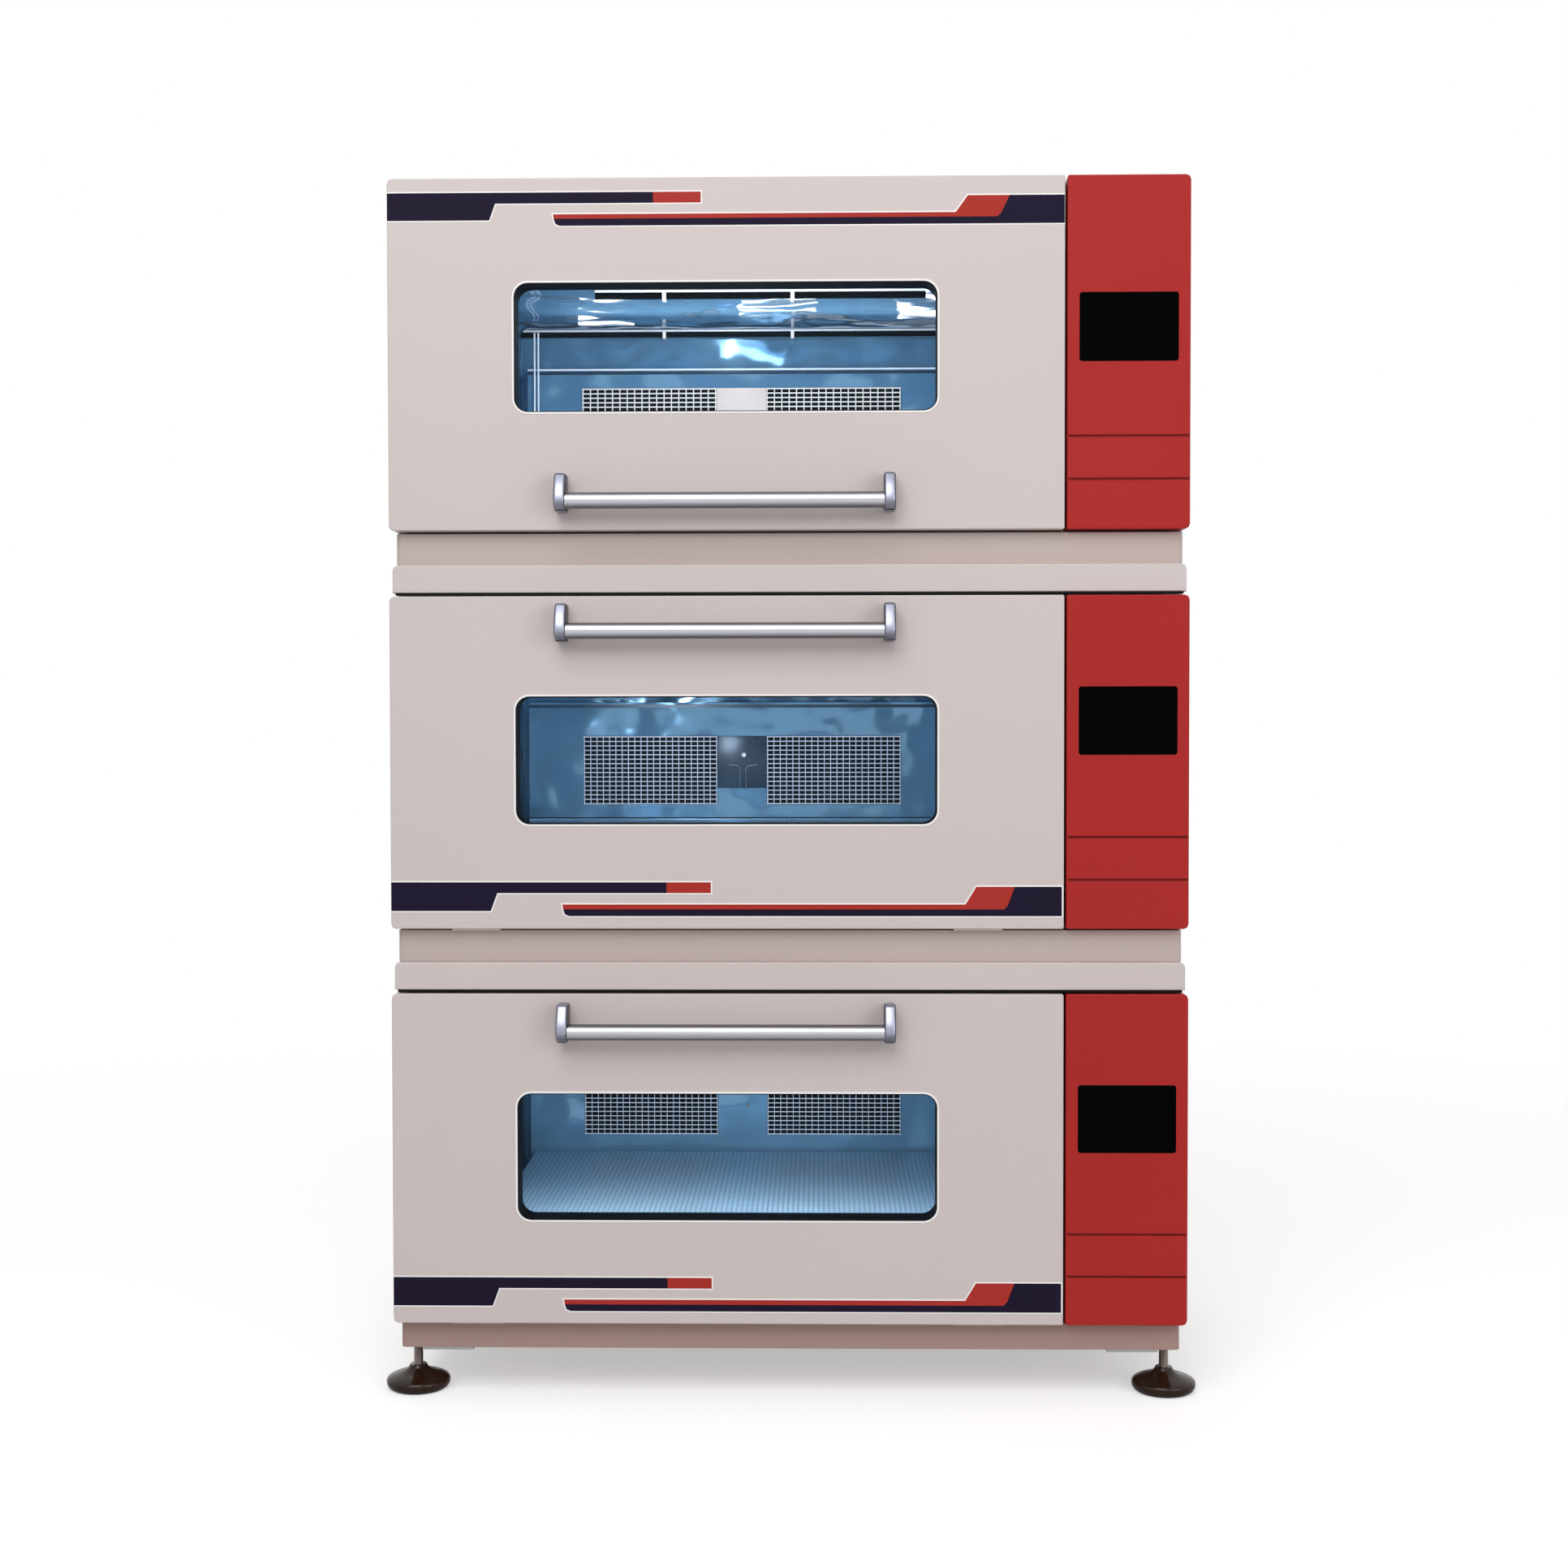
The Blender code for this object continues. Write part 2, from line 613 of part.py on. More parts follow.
def make_fan(unit):
    """Radial fan wheel: a back plate and hub turned with the shaft, and straight blades."""
    x, z = unit.fan()
    rear = CHAMBER_BACK - LINER_WALL - FAN_BACK_GAP
    shaft_end = CHAMBER_BACK + FAN_SHAFT_REACH - SEAT
    profile = [
        (0, rear - FAN_WIDTH),
        (FAN_HUB_RADIUS, rear - FAN_WIDTH),
        (FAN_HUB_RADIUS, rear - FAN_PLATE),
        (FAN_RADIUS, rear - FAN_PLATE),
        (FAN_RADIUS, rear),
        (FAN_SHAFT_RADIUS, rear),
        (FAN_SHAFT_RADIUS, shaft_end),
        (0, shaft_end),
    ]
    wheel = turned(profile, "y", (x, FACE_Y, z), FAN_SIDES)
    root = FAN_HUB_RADIUS * 0.8
    tip = FAN_RADIUS * 0.95
    star = []
    for index in range(FAN_BLADES):
        angle = math.tau * index / FAN_BLADES
        for radius, offset in ((root, -1), (tip, -1), (tip, 1), (root, 1)):
            turn = angle + offset * FAN_BLADE_THICKNESS / 2 / radius
            star.append((x + radius * math.cos(turn), z + radius * math.sin(turn)))
    blades = prism(star, "y", back(rear - FAN_WIDTH + FAN_PLATE), back(rear - FAN_PLATE / 2))
    fuse(wheel, blades)
    return finish(wheel, f"{unit.name}_fan_wheel", "fan", (x, back(rear), z))


def make_fascia(unit):
    """Control panel beside the door, with the display pocket and two grooves."""
    right = UNIT_WIDTH / 2
    left = right - FASCIA_WIDTH
    radii = (INNER_CORNER, CORNER_RADIUS, CORNER_RADIUS, INNER_CORNER)
    outline = rounded(left, right, unit.floor, unit.door_top, radii)
    fascia = ease_front(prism(outline, "y", back(0), back(CASE_SETBACK - SEAT)), FRONT_EASE)
    pocket = rounded(*display_sides(unit, SEAT), DISPLAY_RADIUS + SEAT)
    tools = [prism(pocket, "y", back(-SEAT), back(DISPLAY_THICKNESS + SEAT))]
    for rise in GROOVE_RISES:
        low = unit.floor + rise - GROOVE_WIDTH / 2
        tools.append(block(left - SEAT, right + SEAT, -SEAT, GROOVE_DEPTH, low, low + GROOVE_WIDTH))
    cut(fascia, *tools)
    return finish(fascia, f"{unit.name}_control_fascia", "fascia")


def display_sides(unit, grow):
    middle = UNIT_WIDTH / 2 - FASCIA_WIDTH / 2
    low = unit.display_low
    return (
        middle - DISPLAY_WIDTH / 2 - grow,
        middle + DISPLAY_WIDTH / 2 + grow,
        low - grow,
        low + DISPLAY_HEIGHT + grow,
    )


def make_display(unit):
    outline = rounded(*display_sides(unit, 0), DISPLAY_RADIUS)
    display = prism(outline, "y", back(0), back(DISPLAY_THICKNESS))
    return finish(display, f"{unit.name}_display", "display")


def window_outline(unit, grow):
    half = WINDOW_WIDTH / 2 + grow
    low = unit.window_low - grow
    return rounded(DOOR_X - half, DOOR_X + half, low, low + WINDOW_HEIGHT + grow * 2, WINDOW_RADIUS + grow)


def moving_knuckles(unit):
    """Two hinge barrels and the pin between them, turned in one piece for each hinge."""
    depth, level = unit.hinge
    inner = HINGE_LENGTH / 2 + HINGE_END_GAP
    outer = inner + HINGE_EAR_LENGTH
    profile = [
        (0, -outer),
        (HINGE_RADIUS, -outer),
        (HINGE_RADIUS, -inner),
        (HINGE_PIN_RADIUS, -inner),
        (HINGE_PIN_RADIUS, inner),
        (HINGE_RADIUS, inner),
        (HINGE_RADIUS, outer),
        (0, outer),
    ]
    return [
        turned(profile, "x", (DOOR_X + side * HINGE_SPREAD, back(depth), level), HINGE_SIDES)
        for side in (-1, 1)
    ]


def make_door(unit, parent):
    """Door shell with the window, a rebate for the pane, the raised inner pan and hinge ears."""
    radii = (CORNER_RADIUS, INNER_CORNER, INNER_CORNER, CORNER_RADIUS)
    outline = rounded(DOOR_LEFT, DOOR_RIGHT, unit.floor, unit.door_top, radii)
    door = ease_front(prism(outline, "y", back(0), back(DOOR_THICKNESS)), FRONT_EASE)
    plug_back = DOOR_THICKNESS + DOOR_PLUG_DEPTH
    plug = chamber_outline(unit, -LINER_WALL - DOOR_PLUG_GAP)
    fuse(door, prism(plug, "y", back(DOOR_THICKNESS - SEAT), back(plug_back)))
    depth, level = unit.hinge
    reach = HINGE_RADIUS + HINGE_POCKET
    tools = [
        prism(window_outline(unit, 0), "y", back(-SEAT), back(plug_back + SEAT)),
        prism(window_outline(unit, PANE_LAP), "y", back(PANE_DEPTH - SEAT), back(plug_back + SEAT)),
    ]
    for side in (-1, 1):
        middle = DOOR_X + side * HINGE_SPREAD
        half = HINGE_LENGTH / 2 + HINGE_END_GAP * 2
        ends = (middle - half, middle + half)
        if unit.lifts:
            levels = (level - reach, unit.door_top + SEAT)
        else:
            levels = (unit.floor - SEAT, level + reach)
        tools.append(block(*ends, depth - reach, depth + reach, *levels))
    cut(door, *tools)
    fuse(door, *moving_knuckles(unit))
    return finish(door, f"{unit.name}_door_shell", "housing", world_place(parent), parent)


def make_pane(unit, parent):
    outline = window_outline(unit, PANE_LAP - SEAT)
    pane = prism(outline, "y", back(PANE_DEPTH), back(PANE_DEPTH + PANE_THICKNESS))
    return finish(pane, f"{unit.name}_door_glass", "glass", world_place(parent), parent)


def make_gasket(unit, parent):
    """Seal round the chamber's mouth, fixed to the back of the door."""
    front, rear = back(DOOR_THICKNESS + SEAT), back(CASE_SETBACK - SEAT)
    gasket = prism(chamber_outline(unit, GASKET_MARGIN + GASKET_WIDTH), "y", front, rear)
    cut(gasket, prism(chamber_outline(unit, GASKET_MARGIN), "y", front - SEAT, rear + SEAT))
    return finish(gasket, f"{unit.name}_door_gasket", "gasket", world_place(parent), parent)


def make_handle(unit, parent):
    """Bar between two brackets with a bowed front."""
    low = unit.handle_low
    high = low + HANDLE_BRACKET_HEIGHT
    bar_y = back(HANDLE_BAR_RADIUS + HANDLE_BAR_COVER - HANDLE_REACH)
    bar_z = low + HANDLE_BAR_RISE
    side_outline = [(back(-SEAT), high)]
    for step in range(BRACKET_STEPS + 1):
        share = step / BRACKET_STEPS
        bow = math.sin(math.pi / 2 * share)
        reach = HANDLE_TOP_REACH + (HANDLE_REACH - HANDLE_TOP_REACH) * bow
        side_outline.append((back(-reach), high + (bar_z - high) * share))
    for step in range(1, BRACKET_STEPS + 1):
        share = step / BRACKET_STEPS
        bow = math.cos(math.pi / 2 * share)
        reach = HANDLE_LOW_REACH + (HANDLE_REACH - HANDLE_LOW_REACH) * bow
        side_outline.append((back(-reach), bar_z + (low - bar_z) * share))
    side_outline.append((back(-SEAT), low))
    start = DOOR_X - HANDLE_LENGTH / 2
    end = DOOR_X + HANDLE_LENGTH / 2
    bar = prism(
        circle(bar_y, bar_z, HANDLE_BAR_RADIUS, BAR_SIDES), "x",
        start + HANDLE_BRACKET_WIDTH / 2, end - HANDLE_BRACKET_WIDTH / 2,
    )
    fuse(
        bar,
        prism(side_outline, "x", start, start + HANDLE_BRACKET_WIDTH),
        prism(side_outline, "x", end - HANDLE_BRACKET_WIDTH, end),
    )
    return finish(bar, f"{unit.name}_door_handle", "handle", world_place(parent), parent)


def pin_place(unit, index):
    x, y = unit.spindle(index)
    return x + ORBIT_RADIUS, y


def crank_profile(unit, radius):
    """Half section of a crank wheel with its hub and spindle."""
    level = unit.floor + PULLEY_LEVEL
    foot = unit.plinth_top - BEARING_DEPTH + SEAT
    seat = unit.floor + BEARING_HEIGHT + SEAT
    return [
        (0, foot),
        (SPINDLE_RADIUS, foot),
        (SPINDLE_RADIUS, seat),
        (HUB_RADIUS, seat),
        (HUB_RADIUS, level),
        (radius, level),
        (radius, level + PULLEY_WIDTH),
        (0, level + PULLEY_WIDTH),
    ]


def crank_pin(unit, index):
    x, y = pin_place(unit, index)
    low = unit.floor + PULLEY_LEVEL + PULLEY_WIDTH / 2
    return prism(circle(x, y, PIN_RADIUS, ROUND_SIDES), "z", low, unit.floor + PIN_TOP)


def make_drive(unit):
    """Driven pulley with its counterweight opposite the crank pin."""
    x, y = unit.spindle(0)
    wheel = turned(crank_profile(unit, DRIVE_PULLEY_RADIUS), "z", (x, y, 0), PULLEY_SIDES)
    steps = SMALL_SIDES
    sector = [(x, y - HUB_RADIUS / 2), (x, y + HUB_RADIUS / 2)]
    for step in range(steps + 1):
        angle = math.radians(110) + math.radians(140) * step / steps
        sector.append((x + WEIGHT_RADIUS * math.cos(angle), y + WEIGHT_RADIUS * math.sin(angle)))
    low = unit.floor + WEIGHT_LEVEL
    weight = prism(sector, "z", low, unit.floor + PULLEY_LEVEL + PULLEY_FLANGE)
    fuse(wheel, weight, crank_pin(unit, 0))
    return finish(wheel, f"{unit.name}_drive_eccentric", "steel", (x, y, low))


def make_idler(unit, index, name):
    x, y = unit.spindle(index)
    wheel = turned(crank_profile(unit, IDLER_RADIUS), "z", (x, y, 0), ROUND_SIDES)
    fuse(wheel, crank_pin(unit, index))
    return finish(wheel, f"{unit.name}_{name}", "steel", (x, y, unit.floor + PULLEY_LEVEL))


def make_platform(unit, parent):
    """Platform plate with a folded skirt and a bearing socket over each crank pin."""
    x, y = pin_place(unit, 0)
    half_width, half_depth = PLATFORM_WIDTH / 2, PLATFORM_DEPTH / 2
    top = unit.floor + PLATFORM_TOP
    outline = rounded(
        x - half_width, x + half_width, y - half_depth, y + half_depth, PLATFORM_RADIUS
    )
    platform = prism(outline, "z", top - PLATFORM_SKIRT, top)
    hollow = rounded(
        x - half_width + PLATFORM_WALL, x + half_width - PLATFORM_WALL,
        y - half_depth + PLATFORM_WALL, y + half_depth - PLATFORM_WALL,
        PLATFORM_RADIUS - PLATFORM_WALL,
    )
    cut(platform, prism(hollow, "z", top - PLATFORM_SKIRT - SEAT, top - PLATFORM_PLATE))
    sides = ROUND_SIDES
    bosses, bores = [], []
    for index in (-1, 0, 1):
        place = pin_place(unit, index)
        boss = circle(*place, SOCKET_RADIUS, sides)
        bosses.append(prism(boss, "z", top - SOCKET_DROP, top - PLATFORM_PLATE / 2))
        bore = circle(*place, around(PIN_RADIUS, sides), sides)
        bores.append(prism(bore, "z", top - SOCKET_DROP - SEAT, unit.floor + PIN_TOP + SEAT))
    fuse(platform, *bosses)
    cut(platform, *bores)
    return finish(platform, f"{unit.name}_platform", "platform", (x, y, top), parent)


def make_motor(unit):
    """Motor that stands on the plinth, with a bore for the shaft of its pulley."""
    x, y = unit.motor()
    seat = unit.plinth_top + SEAT
    top = unit.floor + MOTOR_TOP
    flange_radius = MOTOR_RADIUS * 1.25
    bore_radius = around(MOTOR_SHAFT_RADIUS, ROUND_SIDES)
    profile = [
        (0, seat),
        (flange_radius, seat),
        (flange_radius, seat + MOTOR_FLANGE),
        (MOTOR_RADIUS, seat + MOTOR_FLANGE),
        (MOTOR_RADIUS, top),
        (bore_radius, top),
        (bore_radius, top - MOTOR_SHAFT_DEPTH),
        (0, top - MOTOR_SHAFT_DEPTH),
    ]
    return finish(turned(profile, "z", (x, y, 0), ROUND_SIDES), f"{unit.name}_motor", "motor")


def make_motor_pulley(unit):
    x, y = unit.motor()
    low = unit.floor + PULLEY_LEVEL
    high = low + PULLEY_WIDTH
    radius, lip = MOTOR_PULLEY_RADIUS, PULLEY_LIP
    foot = unit.floor + MOTOR_TOP - MOTOR_SHAFT_DEPTH + SEAT
    profile = [
        (0, foot),
        (MOTOR_SHAFT_RADIUS, foot),
        (MOTOR_SHAFT_RADIUS, low),
        (radius + lip, low),
        (radius + lip, low + PULLEY_FLANGE),
        (radius, low + PULLEY_FLANGE),
        (radius, high - PULLEY_FLANGE),
        (radius + lip, high - PULLEY_FLANGE),
        (radius + lip, high),
        (0, high),
    ]
    pulley = turned(profile, "z", (x, y, 0), ROUND_SIDES)
    return finish(pulley, f"{unit.name}_motor_pulley", "steel", (x, y, low))


def belt_loop(unit, grow):
    """Outline of a belt round both pulleys, its faces clear of their rims by the growth."""
    start, end = Vector(unit.spindle(0)), Vector(unit.motor())
    run = end - start
    heading = math.atan2(run.y, run.x)
    spread = math.acos((DRIVE_PULLEY_RADIUS - MOTOR_PULLEY_RADIUS) / run.length)
    steps = PULLEY_SIDES // 2
    loop = []
    arcs = (
        (start, DRIVE_PULLEY_RADIUS, heading + spread, math.tau - 2 * spread),
        (end, MOTOR_PULLEY_RADIUS, heading - spread, 2 * spread),
    )
    for centre, radius, first, sweep in arcs:
        outer = (radius + grow) / math.cos(sweep / steps / 2)
        for step in range(steps + 1):
            angle = first + sweep * step / steps
            loop.append((centre.x + outer * math.cos(angle), centre.y + outer * math.sin(angle)))
    return loop


def make_belt(unit):
    low = unit.floor + PULLEY_LEVEL + (PULLEY_WIDTH - BELT_WIDTH) / 2
    belt = prism(belt_loop(unit, SEAT + BELT_THICKNESS), "z", low, low + BELT_WIDTH)
    cut(belt, prism(belt_loop(unit, SEAT), "z", low - SEAT, low + BELT_WIDTH + SEAT))
    return finish(belt, f"{unit.name}_drive_belt", "belt")


def make_unit(name, index):
    unit = Unit(name, index)
    make_plinth(unit)
    make_housing(unit)
    make_liner(unit)
    make_duct(unit)
    make_fan(unit)
    make_fascia(unit)
    make_display(unit)
    hinge = axis_empty(f"{name}_door_axis", (DOOR_X, back(unit.hinge[0]), unit.hinge[1]))
    make_door(unit, hinge)
    make_pane(unit, hinge)
    make_gasket(unit, hinge)
    make_handle(unit, hinge)
    drive = make_drive(unit)
    make_platform(unit, drive)
    make_idler(unit, -1, "idler_eccentric_left")
    make_idler(unit, 1, "idler_eccentric_right")
    make_motor(unit)
    make_motor_pulley(unit)
    make_belt(unit)


def main():
    for item in list(bpy.data.objects):
        bpy.data.objects.remove(item)
    for index, name in enumerate(UNIT_NAMES):
        make_unit(name, index)
    for end, depth in (("front", FOOT_SETBACK), ("rear", CASE_DEPTH - FOOT_SETBACK)):
        make_foot(-1, depth, f"foot_{end}_left")
        make_foot(1, depth, f"foot_{end}_right")


main()
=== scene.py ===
"""Looks of the stack of shaking incubators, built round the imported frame.

Metres, +Z up, the doors face -Y. Depths are measured from the front face of the doors.
"""
import math

import bmesh
import bpy
from mathutils import Matrix, Vector


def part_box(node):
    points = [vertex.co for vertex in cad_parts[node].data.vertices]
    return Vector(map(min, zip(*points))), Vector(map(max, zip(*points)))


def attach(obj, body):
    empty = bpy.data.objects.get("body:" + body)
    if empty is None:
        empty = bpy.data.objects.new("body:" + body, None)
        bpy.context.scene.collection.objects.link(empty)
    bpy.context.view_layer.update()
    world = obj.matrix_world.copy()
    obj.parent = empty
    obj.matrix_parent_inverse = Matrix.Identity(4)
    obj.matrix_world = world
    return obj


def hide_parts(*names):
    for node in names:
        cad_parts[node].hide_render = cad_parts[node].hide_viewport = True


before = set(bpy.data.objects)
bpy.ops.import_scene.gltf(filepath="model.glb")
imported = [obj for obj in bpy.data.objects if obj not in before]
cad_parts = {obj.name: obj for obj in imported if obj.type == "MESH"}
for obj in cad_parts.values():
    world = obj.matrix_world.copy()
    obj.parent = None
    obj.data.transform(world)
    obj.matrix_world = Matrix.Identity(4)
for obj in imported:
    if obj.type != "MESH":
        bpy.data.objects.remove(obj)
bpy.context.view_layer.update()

UNITS = ("bottom", "middle", "top")

# Sizes that the CAD solids have too
DOOR_GAP = 0.004
PANE_LAP = 0.0097
WINDOW_RADIUS = 0.024
PANE_DEPTH = 0.036
PANE_THICKNESS = 0.012
BRACKET_WIDTH = 0.022
BAR_RADIUS = 0.0135
BAR_COVER = 0.0035
BAR_RISE = 0.018
STEM_RADIUS = 0.008
LINER_WALL = 0.0015
GRILLE_WIDTH = 0.268
GRILLE_HEIGHT = 0.137
GRILLE_SPACING = 0.367
GRILLE_RISE = 0.252
TOP_GRILLE_RISE = 0.281
GROOVE_RISES = (0.082, 0.153)
LID_GAP = 0.006
PORT_X = 0.560
PORT_SPACING = 0.045
PORT_RISE = 0.470
PORT_LENGTH = 0.015
INLET_RISE = 0.060
INLET_HEIGHT = 0.034

# What trim keeps off the solid that it lies on
GAP = 0.0003

# Camera
CAMERA_PLACE = (0.0539, -3.7925, 1.1239)
CAMERA_PITCH = 1.466
CAMERA_YAW = 1.03
CAMERA_ROLL = -0.081
CAMERA_LENS = 46.93
SENSOR = 36.0

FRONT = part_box("middle_display")[0].y
REAR_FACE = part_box("middle_housing")[1].y - PORT_LENGTH
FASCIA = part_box("middle_control_fascia")
DOOR_LEFT = -FASCIA[1].x
DOOR_RIGHT = FASCIA[0].x - DOOR_GAP
DOOR_X = (DOOR_LEFT + DOOR_RIGHT) / 2
AXES = {
    "x": (Vector((0, 1, 0)), Vector((0, 0, 1)), Vector((1, 0, 0))),
    "y": (Vector((1, 0, 0)), Vector((0, 0, 1)), Vector((0, 1, 0))),
    "z": (Vector((1, 0, 0)), Vector((0, 1, 0)), Vector((0, 0, 1))),
}


def back(depth):
    """World Y of a depth behind the door face."""
    return FRONT + depth


def srgb(red, green, blue):
    """Linear colour of a colour that is named in 0 to 255."""
    shares = (value / 255 for value in (red, green, blue))
    return tuple(v / 12.92 if v <= 0.04045 else ((v + 0.055) / 1.055) ** 2.4 for v in shares)


# Materials

class Graph:
    """A material's node tree, built a node at a time."""

    def __init__(self, name):
        self.material = bpy.data.materials.new(name)
        self.material.use_nodes = True
        self.tree = self.material.node_tree
        self.shader = self.tree.nodes["Principled BSDF"]

    def add(self, kind, inputs=None, **settings):
        node = self.tree.nodes.new("ShaderNode" + kind)
        for key, value in settings.items():
            setattr(node, key, value)
        for key, value in (inputs or {}).items():
            if isinstance(value, bpy.types.NodeSocket):
                self.tree.links.new(value, node.inputs[key])
            else:
                node.inputs[key].default_value = value
        return node

    def maths(self, operation, *values):
        inputs = dict(enumerate(values))
        return self.add("Math", inputs, operation=operation).outputs[0]

    def spread(self, value, low, high, from_low=0.3, from_high=0.7):
        """Value moved from one range, by default that of noise, to another."""
        inputs = {"Value": value, "From Min": from_low, "From Max": from_high, "To Min": low, "To Max": high}
        return self.add("MapRange", inputs).outputs["Result"]

    def scaled(self, colour, factor):
        return self.add("VectorMath", {0: colour, "Scale": factor}, operation="SCALE").outputs["Vector"]

    def mixed(self, factor, first, second):
        node = self.add("Mix", data_type="RGBA")
        for index, value in ((0, factor), (6, first), (7, second)):
            if isinstance(value, bpy.types.NodeSocket):
                self.tree.links.new(value, node.inputs[index])
            elif index:
                node.inputs[index].default_value = (*value, 1)
            else:
                node.inputs[index].default_value = value
        return node.outputs[2]

    def drive(self, socket, value):
        self.tree.links.new(value, self.shader.inputs[socket])


# Cosines between the rounded and the flat normal, from full painted edge highlight to plain face
EDGE_HIGHLIGHT_RANGE = (0.80, 0.995)
# Cosines between a face and the axis, from no painted facing shade to all of it
FACING_SHADE_RANGE = (0.35, 0.95)
GRAIN_HEIGHT = 0.0005
WAVE_SCALE = 7.0
WAVE_HEIGHT = 0.05


def surface(name, colour, roughness, metallic=0.0, mottle=0.03, cloud=2.5, grain=700.0, relief=0.03,
            uneven=0.05, stretch=(1, 1, 1), edge=None, edge_highlight_share=0.5, round_edges=0.0012, wave=0.0,
            specular=0.5, facing_shade=None):
    """Finish with cloudy tone, fine grain in gloss and relief, and a painted highlight in another colour
    along rounded edges.

    Facing shade is painted shade: an axis, a colour and its share on the faces that look along that axis.
    """
    graph = Graph(name)
    place = graph.add("TexCoord").outputs["Object"]
    fine_place = graph.add("Mapping", {"Vector": place, "Scale": stretch}).outputs["Vector"]
    fine = graph.add("TexNoise", {"Vector": fine_place, "Scale": grain, "Detail": 3.0}).outputs["Fac"]
    clouds = graph.add("TexNoise", {"Vector": place, "Scale": cloud, "Detail": 5.0}).outputs["Fac"]
    tone = graph.spread(clouds, 1 - mottle, 1 + mottle)
    tone = graph.maths("MULTIPLY", tone, graph.spread(fine, 1 - mottle / 2, 1 + mottle / 2))
    base = graph.scaled(colour, tone)
    bevel = graph.add("Bevel", {"Radius": round_edges}, samples=4)
    # Painted highlight: edge is the colour that the rounded edges lean to
    if edge:
        flat = graph.add("NewGeometry").outputs["Normal"]
        turn = graph.add("VectorMath", {0: bevel.outputs["Normal"], 1: flat}, operation="DOT_PRODUCT")
        edge_highlight_mask = graph.spread(turn.outputs["Value"], edge_highlight_share, 0.0, *EDGE_HIGHLIGHT_RANGE)
        base = graph.mixed(edge_highlight_mask, base, edge)
    # Painted shade on the faces that look along the axis
    if facing_shade:
        axis, facing_shade_colour, share = facing_shade
        flat = graph.add("NewGeometry").outputs["Normal"]
        along = graph.maths("ABSOLUTE", graph.add("SeparateXYZ", {0: flat}).outputs[axis])
        base = graph.mixed(graph.spread(along, 0.0, share, *FACING_SHADE_RANGE), base, facing_shade_colour)
    graph.drive("Base Color", base)
    graph.drive("Roughness", graph.spread(fine, max(roughness - uneven, 0.02), roughness + uneven))
    normal = bevel.outputs["Normal"]
    if wave:
        waves = graph.add("TexNoise", {"Vector": place, "Scale": WAVE_SCALE, "Detail": 1.5}).outputs["Fac"]
        bump = {"Strength": wave, "Distance": WAVE_HEIGHT, "Height": waves, "Normal": normal}
        normal = graph.add("Bump", bump).outputs["Normal"]
    bump = {"Strength": relief, "Distance": GRAIN_HEIGHT, "Height": fine, "Normal": normal}
    graph.drive("Normal", graph.add("Bump", bump).outputs["Normal"])
    graph.shader.inputs["Metallic"].default_value = metallic
    graph.shader.inputs["Specular IOR Level"].default_value = specular
    graph.material.diffuse_color = (*colour, 1)
    return graph.material


HOLE_EDGE = 0.15
HOLE_DEPTH = 0.001
# Upward share of the normal, from no holes to all of them
UPWARD_RANGE = (0.5, 0.9)


def perforated(name, colour, hole_colour, pitch, radius):
    """Sheet metal with a square grid of small round holes, seen from above."""
    graph = Graph(name)
    place = graph.add("TexCoord").outputs["Object"]
    parts = graph.add("SeparateXYZ", {0: place}).outputs
    squares = []
    for axis in ("X", "Y"):
        share = graph.maths("FRACT", graph.maths("MULTIPLY", parts[axis], 1 / pitch))
        squares.append(graph.maths("POWER", graph.maths("SUBTRACT", share, 0.5), 2.0))
    distance = graph.maths("SQRT", graph.maths("ADD", *squares))
    hole = graph.spread(distance, 1.0, 0.0, *(radius / pitch * (1 + side * HOLE_EDGE) for side in (-1, 1)))
    top = graph.add("SeparateXYZ", {0: graph.add("NewGeometry").outputs["Normal"]}).outputs["Z"]
    hole = graph.maths("MULTIPLY", hole, graph.spread(top, 0.0, 1.0, *UPWARD_RANGE))
    clouds = graph.add("TexNoise", {"Vector": place, "Scale": 6.0, "Detail": 4.0}).outputs["Fac"]
    metal = graph.scaled(colour, graph.spread(clouds, 0.92, 1.08))
    graph.drive("Base Color", graph.mixed(hole, metal, hole_colour))
    graph.drive("Roughness", graph.spread(clouds, 0.32, 0.42))
    bump = {"Strength": 0.6, "Distance": HOLE_DEPTH, "Height": graph.maths("SUBTRACT", 1.0, hole)}
    graph.drive("Normal", graph.add("Bump", bump).outputs["Normal"])
    graph.shader.inputs["Metallic"].default_value = 0.4
    graph.material.diffuse_color = (*colour, 1)
    return graph.material


def clear(name, colour, share):
    """Clean pane: mostly clear, with a weak gloss."""
    graph = Graph(name)
    place = graph.add("TexCoord").outputs["Object"]
    haze = graph.add("TexNoise", {"Vector": place, "Scale": 4.0, "Detail": 4.0}).outputs["Fac"]
    graph.drive("Base Color", graph.scaled(colour, graph.spread(haze, 0.95, 1.05)))
    graph.drive("Roughness", graph.spread(haze, 0.02, 0.06))
    graph.shader.inputs["Alpha"].default_value = share
    return graph.material


# The edge colours of these paints are painted highlights along rounded edges
PAINT = surface("door_paint", srgb(211, 200, 198), 0.42, mottle=0.012, cloud=1.6, grain=1400, relief=0.02,
                edge=srgb(236, 229, 226), edge_highlight_share=0.7, specular=0.25)
PLINTH_PAINT = surface("plinth_paint_look", srgb(196, 180, 175), 0.48, mottle=0.015, cloud=2.0, grain=1400,
                       relief=0.03, edge=srgb(225, 214, 210), edge_highlight_share=0.6, specular=0.25)
